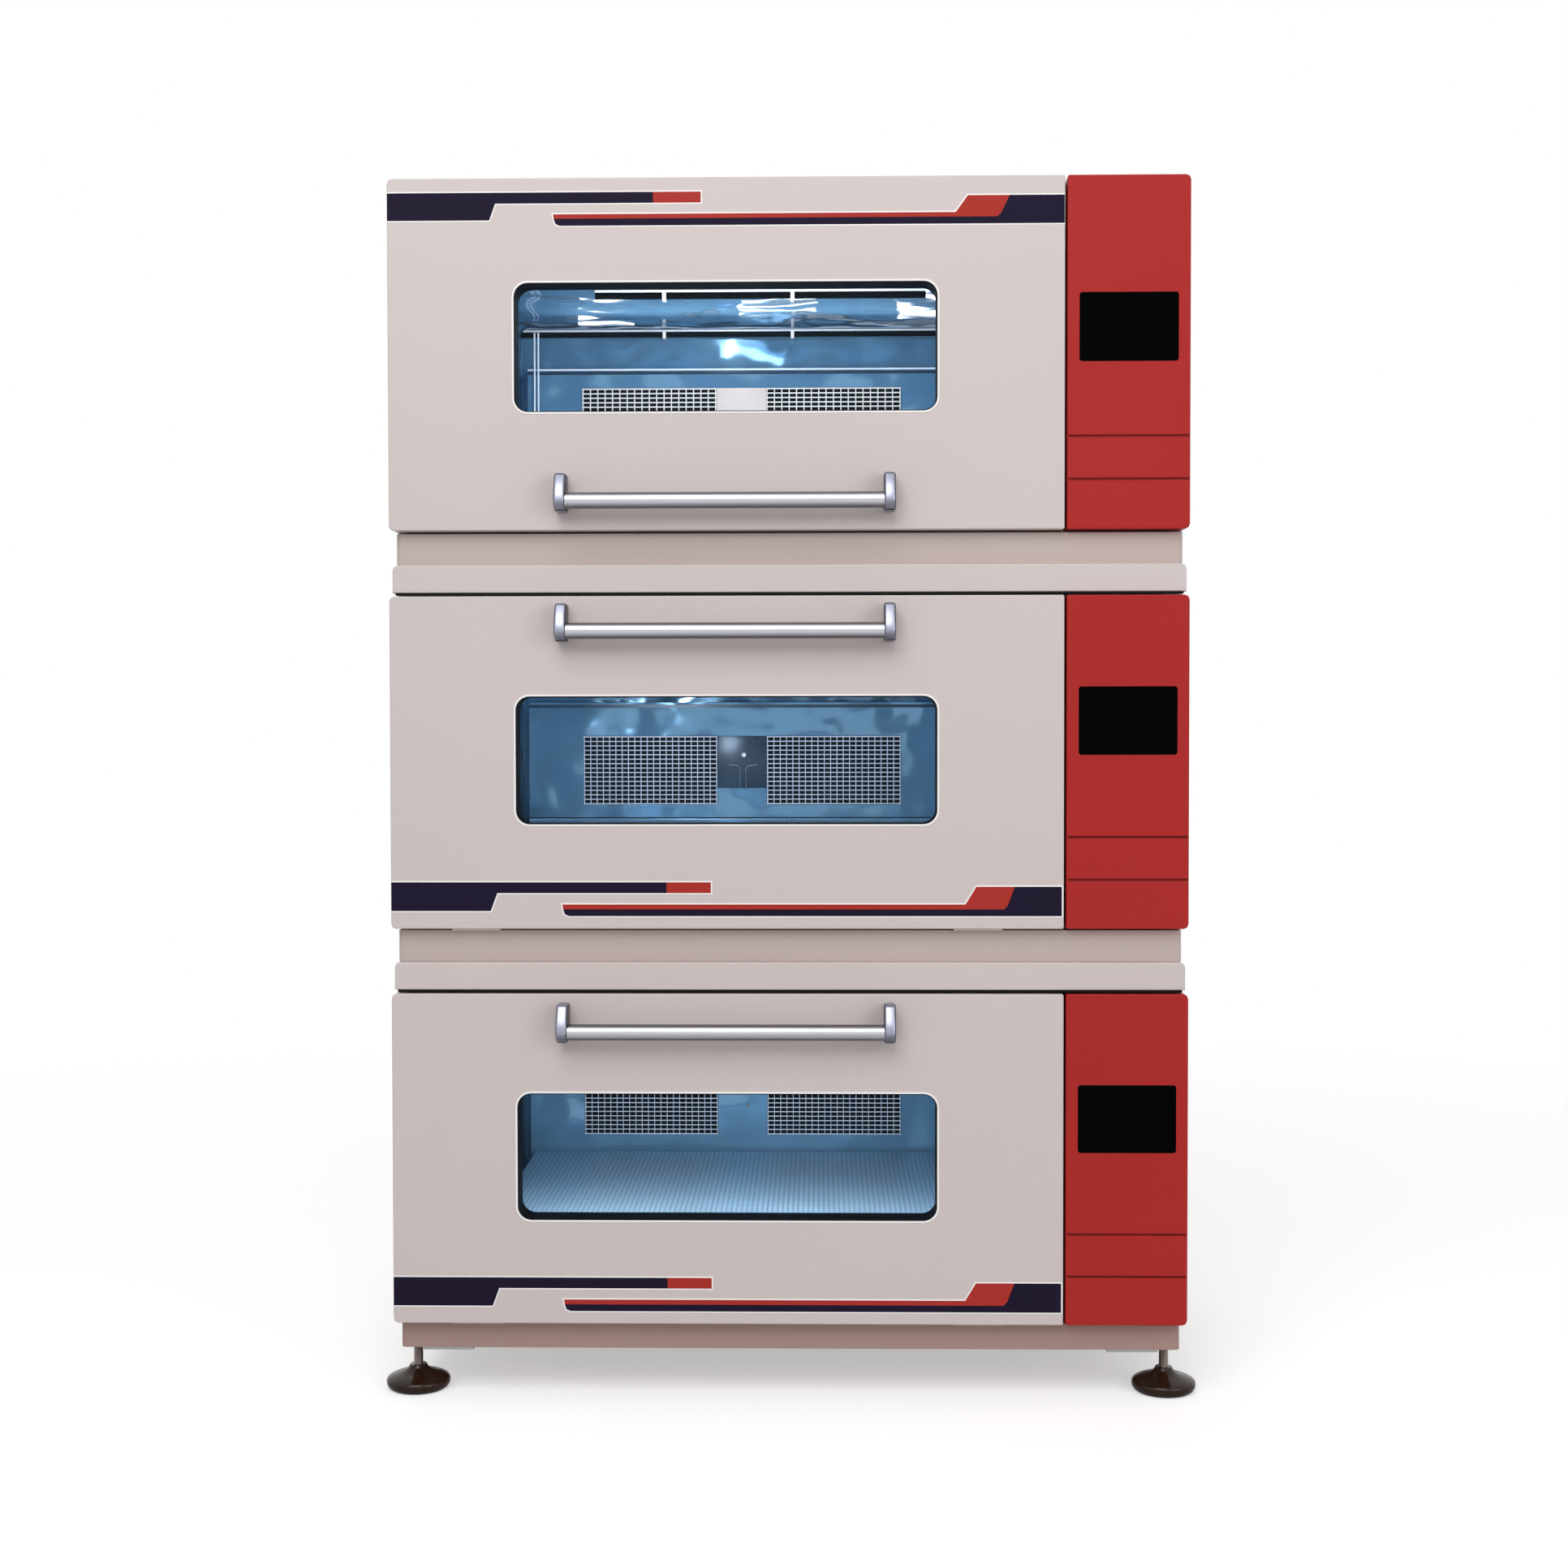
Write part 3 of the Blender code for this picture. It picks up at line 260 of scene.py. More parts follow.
# Painted shade: a darker, warmer copy of the plinth paint for the bottom plinth under the lowest door; its
# edge colour is a painted highlight
BASE_SHADED_PAINT = surface("base_plinth_shaded_look", srgb(172, 144, 136), 0.5, mottle=0.02, cloud=2.0, grain=1400,
                     relief=0.03, edge=srgb(196, 170, 163), edge_highlight_share=0.5, specular=0.2)
RED_PAINT = surface("fascia_paint_look", srgb(174, 44, 42), 0.38, mottle=0.03, cloud=2.2, grain=1600,
                    relief=0.03, edge=srgb(196, 74, 68), edge_highlight_share=0.5, specular=0.12)
# Painted shade: dark red of the strips laid in the fascia's grooves
GROOVE_SHADE = surface("groove_shade_look", srgb(122, 27, 27), 0.5, mottle=0.05, cloud=3.0, grain=900,
                       relief=0.02, specular=0.1)
STRIPE_NAVY = surface("stripe_navy", srgb(31, 24, 46), 0.5, mottle=0.06, cloud=3.0, grain=900,
                      relief=0.01, round_edges=0.0002, specular=0.06)
STRIPE_RED = surface("stripe_red", srgb(174, 52, 45), 0.45, mottle=0.05, cloud=3.0, grain=900,
                     relief=0.01, round_edges=0.0002, specular=0.1)
CLIP_ENAMEL = surface("lamp_clip_look", srgb(236, 230, 227), 0.4, mottle=0.02, cloud=8.0, grain=900,
                      relief=0.02)
PALE_LINE = surface("pale_line_look", srgb(252, 249, 248), 0.5, mottle=0.01, cloud=8.0, grain=900,
                    relief=0.01, specular=0.2)
SCREEN = surface("screen_glass", srgb(3, 3, 3), 0.16, mottle=0.1, cloud=5.0, grain=300, relief=0.0,
                 uneven=0.03, round_edges=0.0004, specular=0.015)
RUBBER = surface("black_rubber", srgb(12, 11, 13), 0.62, mottle=0.15, cloud=12.0, grain=900, relief=0.1,
                 specular=0.12)
# Handle bar: faces that look up or down lean to dark grey, painted shade along the bar's top and bottom
ALUMINIUM = surface("handle_metal_look", srgb(194, 194, 202), 0.26, 1.0, mottle=0.02, cloud=6.0, grain=1500,
                    relief=0.02, uneven=0.03, stretch=(0.004, 1, 1),
                    facing_shade=("Z", srgb(92, 90, 94), 0.85))
# Handle brackets: side faces, which look along X, lean to near black, painted shade on the cheeks
BRACKET = surface("bracket_metal_look", srgb(152, 155, 170), 0.36, 1.0, mottle=0.02, cloud=9.0, grain=1500,
                  relief=0.02, uneven=0.03, stretch=(1, 1, 0.01), facing_shade=("X", srgb(52, 53, 60), 0.95))
STEEL = surface("chamber_steel", srgb(98, 143, 176), 0.13, 0.5, mottle=0.04, cloud=2.5, grain=900,
                relief=0.0, uneven=0.02, stretch=(0.2, 1, 1), wave=0.5, round_edges=0.003)
RAIL = surface("rail_enamel", srgb(226, 234, 242), 0.3, mottle=0.04, cloud=9.0, grain=500, relief=0.03)
DARK_PANEL_AND_SHADOW = surface("dark_panel_and_shadow_look", srgb(44, 62, 80), 0.3, 0.4, mottle=0.08, cloud=8.0, grain=500, relief=0.04)
MESH_METAL = surface("grille_metal", srgb(196, 210, 230), 0.4, mottle=0.06, cloud=18.0, grain=900,
                     relief=0.04, round_edges=0.0004)
MESH_BEIGE = surface("grille_beige", srgb(226, 221, 215), 0.5, mottle=0.04, cloud=18.0, grain=900,
                     relief=0.04, round_edges=0.0004)
PLATE_BEIGE = surface("centre_plate_look", srgb(210, 198, 190), 0.5, mottle=0.04, cloud=18.0, grain=900,
                      relief=0.04, specular=0.2)
FOLD = surface("duct_fold_look", srgb(122, 168, 204), 0.3, 0.3, mottle=0.05, cloud=3.0, grain=900,
               relief=0.02)
TUBE = surface("probe_tube", srgb(120, 146, 168), 0.3, 0.6, mottle=0.05, cloud=20.0, grain=900, relief=0.03)
SHADE = surface("grille_shade_look", srgb(6, 7, 9), 0.8, mottle=0.2, cloud=20.0, grain=900, relief=0.1,
                specular=0.05)
TRAY = perforated("platform_metal_look", srgb(146, 180, 204), srgb(70, 104, 134), 0.009, 0.0021)
GLASS = clear("window_glass_look", srgb(60, 84, 104), 0.05)
FAN_METAL = surface("fan_metal_look", srgb(190, 192, 195), 0.35, 1.0, mottle=0.05, cloud=9.0, grain=500,
                    relief=0.05)
# The edge colours of the machined and motor looks are painted highlights along rounded edges
MACHINED = surface("machined_steel", srgb(168, 168, 170), 0.32, 1.0, mottle=0.06, cloud=9.0, grain=600,
                   relief=0.06, edge=srgb(205, 205, 206), edge_highlight_share=0.5)
MOTOR_BLACK = surface("motor_black", srgb(58, 58, 62), 0.5, mottle=0.08, cloud=10.0, grain=800, relief=0.1,
                      edge=srgb(92, 92, 96), edge_highlight_share=0.4)
FOOT_PLASTIC = surface("foot_plastic_look", srgb(44, 25, 15), 0.14, mottle=0.15, cloud=14.0, grain=700,
                       relief=0.02, uneven=0.04, specular=0.3)
STEM_METAL = surface("stem_metal", srgb(150, 138, 132), 0.3, 1.0, mottle=0.08, cloud=20.0, grain=700,
                     relief=0.05)
PLATE_METAL = surface("plate_metal", srgb(214, 214, 216), 0.35, 0.3, mottle=0.05, cloud=20.0, grain=700,
                      relief=0.04)
BRASS = surface("port_brass", srgb(196, 160, 96), 0.3, 1.0, mottle=0.06, cloud=20.0, grain=800, relief=0.05)
SCREW = surface("screw_steel", srgb(172, 170, 168), 0.35, 1.0, mottle=0.08, cloud=30.0, grain=900,
                relief=0.05)

NODE_LOOKS = {
    "plinth": PLINTH_PAINT, "housing": PAINT, "chamber": STEEL, "rear_duct": STEEL, "fan_wheel": FAN_METAL,
    "control_fascia": RED_PAINT, "display": SCREEN, "door_shell": PAINT, "door_glass": GLASS,
    "door_gasket": RUBBER, "door_handle": ALUMINIUM, "drive_eccentric": MACHINED, "platform": TRAY,
    "idler_eccentric_left": MACHINED, "idler_eccentric_right": MACHINED, "motor": MOTOR_BLACK,
    "motor_pulley": MACHINED, "drive_belt": RUBBER,
}


# Shapes

def rounded(left, right, low, high, radius, steps=8):
    """Rectangle with round corners, from the low left corner to the right."""
    corners = ((left, low, 1, 1), (right, low, -1, 1), (right, high, -1, -1), (left, high, 1, -1))
    points = []
    for index, (u, v, inward_u, inward_v) in enumerate(corners):
        for step in range(steps + 1):
            angle = math.pi * (1 + index / 2) + math.pi / 2 * step / steps
            points.append((
                u + inward_u * radius + radius * math.cos(angle),
                v + inward_v * radius + radius * math.sin(angle),
            ))
    return points


def circle(u, v, radius, sides):
    turns = [math.tau * i / sides for i in range(sides)]
    return [(u + radius * math.cos(a), v + radius * math.sin(a)) for a in turns]


# Edges that turn by more than this, in radians, are rounded where a form is eased
SHARP_TURN = 0.6


def add_prism(form, outline, axis, start, end, ease=0.0, rounds=2):
    """Outline swept along an axis, with its sharp edges rounded by ease."""
    across, up, along = AXES[axis]
    rings = [
        [form.verts.new(across * u + up * v + along * place) for u, v in outline] for place in (start, end)
    ]
    faces = [form.faces.new(rings[0]), form.faces.new(rings[1][::-1])]
    count = len(outline)
    for i in range(count):
        j = (i + 1) % count
        faces.append(form.faces.new((rings[0][i], rings[1][i], rings[1][j], rings[0][j])))
    if ease:
        bmesh.ops.recalc_face_normals(form, faces=faces)
        edges = {edge for face in faces for edge in face.edges if edge.calc_face_angle(0) > SHARP_TURN}
        bmesh.ops.bevel(form, geom=list(edges), offset=ease, segments=rounds, profile=0.5, affect="EDGES")


def add_box(form, left, right, front, rear, low, high, ease=0.0):
    outline = [(left, low), (right, low), (right, high), (left, high)]
    add_prism(form, outline, "y", back(front), back(rear), ease)


def add_ring(form, outer, inner, axis, start, end):
    """Wall between two outlines with the same number of points."""
    across, up, along = AXES[axis]
    loops = [
        [form.verts.new(across * u + up * v + along * place) for u, v in outline]
        for outline, place in ((outer, start), (inner, start), (inner, end), (outer, end))
    ]
    count = len(outer)
    for k in range(4):
        first, second = loops[k], loops[(k + 1) % 4]
        for i in range(count):
            j = (i + 1) % count
            form.faces.new((first[i], first[j], second[j], second[i]))


def add_turned(form, profile, axis, centre, sides):
    """Profile of (radius, place along the axis) spun round the axis through the centre."""
    across, up, along = AXES[axis]
    centre = Vector(centre)
    rings = []
    for radius, place in profile:
        middle = centre + along * place
        if radius == 0:
            rings.append([form.verts.new(middle)])
            continue
        rings.append([
            form.verts.new(middle + across * (radius * math.cos(a)) + up * (radius * math.sin(a)))
            for a in (math.tau * i / sides for i in range(sides))
        ])
    for first, second in zip(rings, rings[1:]):
        for i in range(sides):
            j = (i + 1) % sides
            corners = [first[i % len(first)], first[j % len(first)], second[j % len(second)],
                       second[i % len(second)]]
            unique = list(dict.fromkeys(corners))
            if len(unique) > 2:
                form.faces.new(unique)


def add_tube(form, path, radius, sides=12):
    """Round tube along a path of points, with closed ends."""
    points = [Vector(p) for p in path]
    rings = []
    for index, point in enumerate(points):
        before, after = points[max(index - 1, 0)], points[min(index + 1, len(points) - 1)]
        frame_turn = (after - before).to_track_quat("Z", "Y").to_matrix()
        rings.append([
            form.verts.new(point + frame_turn @ Vector((radius * math.cos(a), radius * math.sin(a), 0)))
            for a in (math.tau * i / sides for i in range(sides))
        ])
    for first, second in zip(rings, rings[1:]):
        for i in range(sides):
            j = (i + 1) % sides
            form.faces.new((first[i], first[j], second[j], second[i]))
    form.faces.new(rings[0][::-1])
    form.faces.new(rings[-1])


def piece(form, name, look, body, sharp=35):
    """The finished form as a piece that rides on a body."""
    bmesh.ops.recalc_face_normals(form, faces=form.faces)
    mesh = bpy.data.meshes.new(name)
    form.to_mesh(mesh)
    form.free()
    made = bpy.data.objects.new(name, mesh)
    bpy.context.scene.collection.objects.link(made)
    mesh.materials.append(look)
    mesh.shade_smooth()
    mesh.set_sharp_from_angle(angle=math.radians(sharp))
    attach(made, body)
    return made


class Unit:
    """Levels of one incubator, read from the frame."""

    def __init__(self, name):
        self.name = name
        self.door = f"{name}_door"
        self.lifts = name == "top"
        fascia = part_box(f"{name}_control_fascia")
        self.floor, self.door_top = fascia[0].z, fascia[1].z
        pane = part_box(f"{name}_door_glass")
        self.window = (pane[0].x + PANE_LAP, pane[1].x - PANE_LAP, pane[0].z + PANE_LAP, pane[1].z - PANE_LAP)
        self.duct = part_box(f"{name}_rear_duct")
        self.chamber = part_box(f"{name}_chamber")
        self.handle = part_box(f"{name}_door_handle")
        self.grille_middle = self.floor + (TOP_GRILLE_RISE if self.lifts else GRILLE_RISE)


# Door

REVEAL_WALL = 0.0025
REVEAL_START = 0.0012
GLAZING_START = PANE_DEPTH + PANE_THICKNESS + 0.0002
GLAZING_END = 0.060
BEAD_OUTSIDE = 0.0024
BEAD_INSIDE = 0.0008
BEAD_PROUD = 0.0006
BEAD_SUNK = 0.0011


def window_outline(unit, grow):
    left, right, low, high = unit.window
    return rounded(left - grow, right + grow, low - grow, high + grow, WINDOW_RADIUS + grow)


def dress_window(unit):
    """Black reveal inside the cut-out, black glazing behind the pane and a pale bead round the edge."""
    rings = (
        ("reveal", -GAP, -REVEAL_WALL, REVEAL_START, PANE_DEPTH - GAP, RUBBER, "gasket_rubber"),
        ("glazing", PANE_LAP - GAP, -GAP, GLAZING_START, GLAZING_END, RUBBER, "gasket_rubber"),
        ("bead", BEAD_OUTSIDE, -BEAD_INSIDE, -BEAD_PROUD, BEAD_SUNK, PALE_LINE, "housing_paint"),
    )
    for word, outer, inner, front, rear, look, slot in rings:
        form = bmesh.new()
        add_ring(form, window_outline(unit, outer), window_outline(unit, inner), "y", back(front), back(rear))
        piece(form, f"{unit.name}_window_{word}", look, unit.door)


STRIPE_TOP_DROP = 0.0243
STRIPE_LOW_RISE = 0.078
STRIPE_FILM = 0.0003
STRIPE_SUNK = 0.0003
STRIPE_INSET = 0.0005
# The lines of the two colours overlap where they meet, so they lie at two heights
KEYLINE_FILMS = {"navy": 0.00015, "red": 0.00022}

# From here to THIN_DEEP all is in millimetres, to the right of the door's left edge and below the
# upper edge of the stripes
KEYLINE_WIDTH = 2.4
TOP_BAND = {"slant": (180, 170), "red": (442, 521), "second": 276, "block": (962, 942),
            "split": (1031, 1014), "end": 1121.5, "deep": 45.5, "high": 8.5, "lines": (36, 43.5, 55)}
LOW_BAND = {"slant": (178, 167), "red": (461, 535), "second": 287, "block": (977, 959),
            "split": (1041, 1026), "end": 1119, "deep": 48, "high": 7.5, "lines": (37, 45.2, 56.5)}
# Half the width and the height of the short slope at the foot of the split between red and navy
SPLIT_HALF = 3
SPLIT_HIGH = 6
# How far the second stripe's left tip leans to the right at its middle line and along its low corner
TIP_LEAN = 1
TIP_CORNER = (4, 11)
TIP_HIGH = 3
THIN_DEEP = 18


def grown(points, amount):
    """Outline moved outwards by an amount, its corners mitred."""
    area = sum(a[0] * b[1] - b[0] * a[1] for a, b in zip(points, points[1:] + points[:1]))
    side = amount if area > 0 else -amount
    moved = []
    for index, here in enumerate(points):
        before, after = Vector(points[index - 1]), Vector(points[(index + 1) % len(points)])
        into = (Vector(here) - before).normalized()
        out = (after - Vector(here)).normalized()
        first, second = Vector((into.y, -into.x)), Vector((out.y, -out.x))
        push = (first + second) / (1 + first.dot(second))
        moved.append(tuple(Vector(here) + push * side))
    return moved


def band_shapes(band):
    """Outlines of the navy and the red film, two of each colour."""
    slant_high, slant_low = band["slant"]
    red_start, red_end = band["red"]
    second, deep, end, top = band["second"], band["deep"], band["end"], band["high"]
    block_high, block_low = band["block"]
    split_high, split_low = band["split"]
    upper, line, lower = band["lines"]
    navy_upper = [(0, 0), (red_start, 0), (red_start, THIN_DEEP), (slant_high, THIN_DEEP),
                  (slant_low, deep), (0, deep)]
    red_upper = [(red_start, 0), (red_end, 0), (red_end, THIN_DEEP), (red_start, THIN_DEEP)]
    split = [(split_high, top), (split_low + SPLIT_HALF, line - SPLIT_HIGH), (split_low - SPLIT_HALF, line)]
    red_lower = [(second, upper), (block_low, upper), (block_high, top), *split, (second + TIP_LEAN, line)]
    navy_lower = [(second + TIP_LEAN, line), *split[::-1], (end, top), (end, lower),
                  (second + TIP_CORNER[1], lower), (second + TIP_CORNER[0], lower - TIP_HIGH)]
    return {"navy": (navy_upper, navy_lower), "red": (red_upper, red_lower)}


def dress_stripes(unit):
    """Two-colour stripes across the door, cut from thin film with a pale line round them."""
    high = unit.door_top - STRIPE_TOP_DROP if unit.lifts else unit.floor + STRIPE_LOW_RISE
    left, right = DOOR_LEFT + STRIPE_INSET, DOOR_RIGHT - STRIPE_INSET

    def add_film(form, points, thick):
        outline = [(min(max(left + u / 1000, left), right), high - v / 1000) for u, v in points]
        add_prism(form, outline, "y", back(-thick), back(STRIPE_SUNK))

    shapes = band_shapes(TOP_BAND if unit.lifts else LOW_BAND)
    keyline = bmesh.new()
    for colour, look in (("navy", STRIPE_NAVY), ("red", STRIPE_RED)):
        form = bmesh.new()
        for shape in shapes[colour]:
            add_film(form, shape, STRIPE_FILM)
            add_film(keyline, grown(shape, KEYLINE_WIDTH), KEYLINE_FILMS[colour])
        piece(form, f"{unit.name}_stripe_{colour}", look, unit.door)
    piece(keyline, f"{unit.name}_stripe_keyline", PALE_LINE, unit.door)


BRACKET_INSET = 0.003
BRACKET_STEPS = 16
BRACKET_EASE = 0.0042
BRACKET_ROUNDS = 4
BRACKET_TOP_REACH = 0.032
BRACKET_LOW_REACH = 0.034
BAR_SUNK = 0.002
BAR_SIDES = 64


def bracket_outline(reach, low, high, bar_z):
    """Side view of a handle bracket, whose bowed front reaches furthest at the bar."""
    outline = [(back(0), high)]
    for step in range(BRACKET_STEPS + 1):
        share = step / BRACKET_STEPS
        out = BRACKET_TOP_REACH + (reach - BRACKET_TOP_REACH) * math.sin(math.pi / 2 * share)
        outline.append((back(-out), high + (bar_z - high) * share))
    for step in range(1, BRACKET_STEPS + 1):
        share = step / BRACKET_STEPS
        out = BRACKET_LOW_REACH + (reach - BRACKET_LOW_REACH) * math.cos(math.pi / 2 * share)
        outline.append((back(-out), bar_z + (low - bar_z) * share))
    return outline + [(back(0), low)]


def dress_handle(unit):
    """Round bar between two brackets with a bowed front."""
    low, high = unit.handle
    bar_y, bar_z = low.y + BAR_RADIUS + BAR_COVER, low.z + BAR_RISE
    ends = (low.x + BRACKET_WIDTH - BAR_SUNK, high.x - BRACKET_WIDTH + BAR_SUNK)
    form = bmesh.new()
    add_prism(form, circle(bar_y, bar_z, BAR_RADIUS, BAR_SIDES), "x", *ends)
    bar = piece(form, f"{unit.name}_handle_bar", ALUMINIUM, unit.door)
    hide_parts(f"{unit.name}_door_handle")
    outline = bracket_outline(FRONT - low.y, low.z, high.z, bar_z)
    form = bmesh.new()
    for start in (low.x + BRACKET_INSET, high.x - BRACKET_WIDTH):
        end = start + BRACKET_WIDTH - BRACKET_INSET
        add_prism(form, outline, "x", start, end, BRACKET_EASE, BRACKET_ROUNDS)
    piece(form, f"{unit.name}_handle_brackets", BRACKET, unit.door)


# Fascia and lid

GROOVE_INSET = 0.0025
GROOVE_HALF = 0.0017
GROOVE_DEPTHS = (0.0014, 0.0019)
# Black seal strip in the gap under the lid, sized to fill and darken the gap: partly a seal, partly painted
# shade
SHADE_SEAL_INSET = 0.009
SHADE_SEAL_DEPTHS = (0.0084, 0.018)
SHADE_SEAL_RISE = 0.0021
SHADE_SEAL_GAP = 0.0002


def dress_groove_and_gap_shade(unit):
    """Painted shade in the fascia's grooves, as dark red strips, and a black seal strip in the gap under the
    lid that also stands in for the gap's shade.
    """
    # Dark red strips in the grooves, painted shade
    form = bmesh.new()
    for rise in GROOVE_RISES:
        level = unit.floor + rise
        add_box(form, FASCIA[0].x + GROOVE_INSET, FASCIA[1].x - GROOVE_INSET, *GROOVE_DEPTHS,
                level - GROOVE_HALF, level + GROOVE_HALF)
    piece(form, f"{unit.name}_fascia_grooves", GROOVE_SHADE, "stack")
    if unit.lifts:
        return
    # Black seal strip under the lid that darkens the gap as painted shade
    form = bmesh.new()
    add_box(form, DOOR_LEFT + SHADE_SEAL_INSET, FASCIA[1].x - SHADE_SEAL_INSET, *SHADE_SEAL_DEPTHS,
            unit.door_top + SHADE_SEAL_RISE, unit.door_top + LID_GAP - SHADE_SEAL_GAP)
    piece(form, f"{unit.name}_lid_seal", RUBBER, "stack")


# Chamber, where each pair of depths is in front of the duct's face

GRILLE_COLUMNS = 21
TOP_GRILLE_COLUMNS = 18
GRILLE_ROWS = 15
GRILLE_BAR = 0.0034
# Share of the bar's width that a level bar and an upright one take
GRILLE_SHARES = {"bottom": (0.42, 0.28), "middle": (0.55, 0.40), "top": (0.68, 0.58)}
UPRIGHT_DEPTHS = (0.0030, 0.0010)
LEVEL_DEPTHS = (0.0034, 0.0014)
# Black sheet behind each grille: painted shade that darkens its holes
SHADE_SHEET_DEPTHS = (0.0010, GAP)
SHADE_SHEET_INSET = 0.001


def dress_grilles(unit):
    """Square mesh over the air outlets of the duct, with a black sheet behind it as painted shade for the
    dark holes.
    """
    front = unit.duct[0].y - FRONT
    look = MESH_BEIGE if unit.lifts else MESH_METAL
    columns = TOP_GRILLE_COLUMNS if unit.lifts else GRILLE_COLUMNS
    level, upright = GRILLE_SHARES[unit.name]
    half = GRILLE_BAR / 2
    low = unit.grille_middle - GRILLE_HEIGHT / 2
    high = low + GRILLE_HEIGHT
    for side, word in ((-1, "left"), (1, "right")):
        middle = DOOR_X + side * GRILLE_SPACING / 2
        left, right = middle - GRILLE_WIDTH / 2, middle + GRILLE_WIDTH / 2
        form = bmesh.new()
        near, far = (front - depth for depth in UPRIGHT_DEPTHS)
        for i in range(columns + 1):
            x = left + half + (GRILLE_WIDTH - GRILLE_BAR) * i / columns
            add_box(form, x - half * upright, x + half * upright, near, far, low, high)
        near, far = (front - depth for depth in LEVEL_DEPTHS)
        for i in range(GRILLE_ROWS + 1):
            z = low + half + (GRILLE_HEIGHT - GRILLE_BAR) * i / GRILLE_ROWS
            add_box(form, left, right, near, far, z - half * level, z + half * level)
        piece(form, f"{unit.name}_grille_{word}", look, "stack")
        form = bmesh.new()
        near, far = (front - depth for depth in SHADE_SHEET_DEPTHS)
        add_box(form, left + SHADE_SHEET_INSET, right - SHADE_SHEET_INSET, near, far, low + SHADE_SHEET_INSET,
                high - SHADE_SHEET_INSET)
        piece(form, f"{unit.name}_grille_cloth_{word}", SHADE, "stack")


CENTRE_PLATE_HALF = 0.0492
CENTRE_PLATE_PROUD = 0.0026
CENTRE_PLATE_EASE = 0.0008
MIDDLE_PLATE_HEIGHT = 0.104

PROBE_SHIFT = 0.004
PROBE_RISE = 0.2827
PROBE_PROFILE = [(0, -0.016), (0.003, -0.0155), (0.0048, -0.0135), (0.0052, -0.011), (0.0052, -0.0024)]
PROBE_SIDES = 32

# The two tubes under the probe rise, bend outwards and end level
TUBES_SHIFT = 0.002
TUBES_APART = 0.012
TUBE_PROUD = 0.007
TUBE_RADIUS = 0.0013
TUBE_LOW = 0.2150
TUBE_BEND_RISE = 0.2520
TUBE_BEND = 0.010
TUBE_BEND_STEPS = 5
TUBE_END_REACH = 0.022
TUBE_END_RISE = 0.2625

DUCT_INSET = 0.001
FOLD_LINE_DEPTHS = (0.0012, GAP)
FOLD_LINE_RISES = (0.1555, 0.1575)
FOLD_DEPTHS = (0.0040, GAP)
FOLD_RISES = (0.1360, 0.1553)
FOLD_EASE = 0.0006
DUCT_BEAD_RADIUS = 0.0021
DUCT_BEAD_INSET = 0.0012
DUCT_BEAD_SIDES = 16
# Depths and drops below the duct's top of a dark strip that is a painted shadow
DUCT_SHADOW_DEPTHS = (0.0010, GAP)
DUCT_SHADOW_DROPS = (0.0110, 0.0050)
DUCT_SCREW_SHIFT = 0.011
DUCT_SCREW_RISE = 0.2423
DUCT_SCREW_PROFILE = [(0, -0.002), (0.003, -0.0016), (0.0036, -GAP), (0, -GAP)]
DUCT_SCREW_SIDES = 24


def dress_centre_plate(unit):
    """Plate between the grilles, as high as they are in the top unit."""
    front = unit.duct[0].y - FRONT
    high = unit.grille_middle + GRILLE_HEIGHT / 2
    low = high - (GRILLE_HEIGHT if unit.lifts else MIDDLE_PLATE_HEIGHT)
    form = bmesh.new()
    add_box(form, DOOR_X - CENTRE_PLATE_HALF, DOOR_X + CENTRE_PLATE_HALF, front - CENTRE_PLATE_PROUD,
            front - GAP, low, high, CENTRE_PLATE_EASE)
    look = PLATE_BEIGE if unit.lifts else DARK_PANEL_AND_SHADOW
    piece(form, f"{unit.name}_centre_plate", look, "stack")


def dress_probe(unit):
    """Sensor probe on the plate between the grilles."""
    form = bmesh.new()
    place = (DOOR_X + PROBE_SHIFT, unit.duct[0].y, unit.floor + PROBE_RISE)
    add_turned(form, PROBE_PROFILE, "y", place, PROBE_SIDES)
    piece(form, f"{unit.name}_probe", RAIL, "stack")


def dress_probe_tubes(unit):
    """Two bent tubes under the probe."""
    y = unit.duct[0].y - TUBE_PROUD
    form = bmesh.new()
    for side in (-1, 1):
        x = DOOR_X + TUBES_SHIFT + side * TUBES_APART / 2
        path = [(x, y, unit.floor + TUBE_LOW), (x, y, unit.floor + TUBE_BEND_RISE)]
        for step in range(1, TUBE_BEND_STEPS + 1):
            turn = math.pi / 2 * step / TUBE_BEND_STEPS
            path.append((x + side * TUBE_BEND * (1 - math.cos(turn)), y,
                         unit.floor + TUBE_BEND_RISE + TUBE_BEND * math.sin(turn)))
        path.append((x + side * TUBE_END_REACH, y, unit.floor + TUBE_END_RISE))
        add_tube(form, path, TUBE_RADIUS)
    piece(form, f"{unit.name}_probe_tubes", TUBE, "stack")


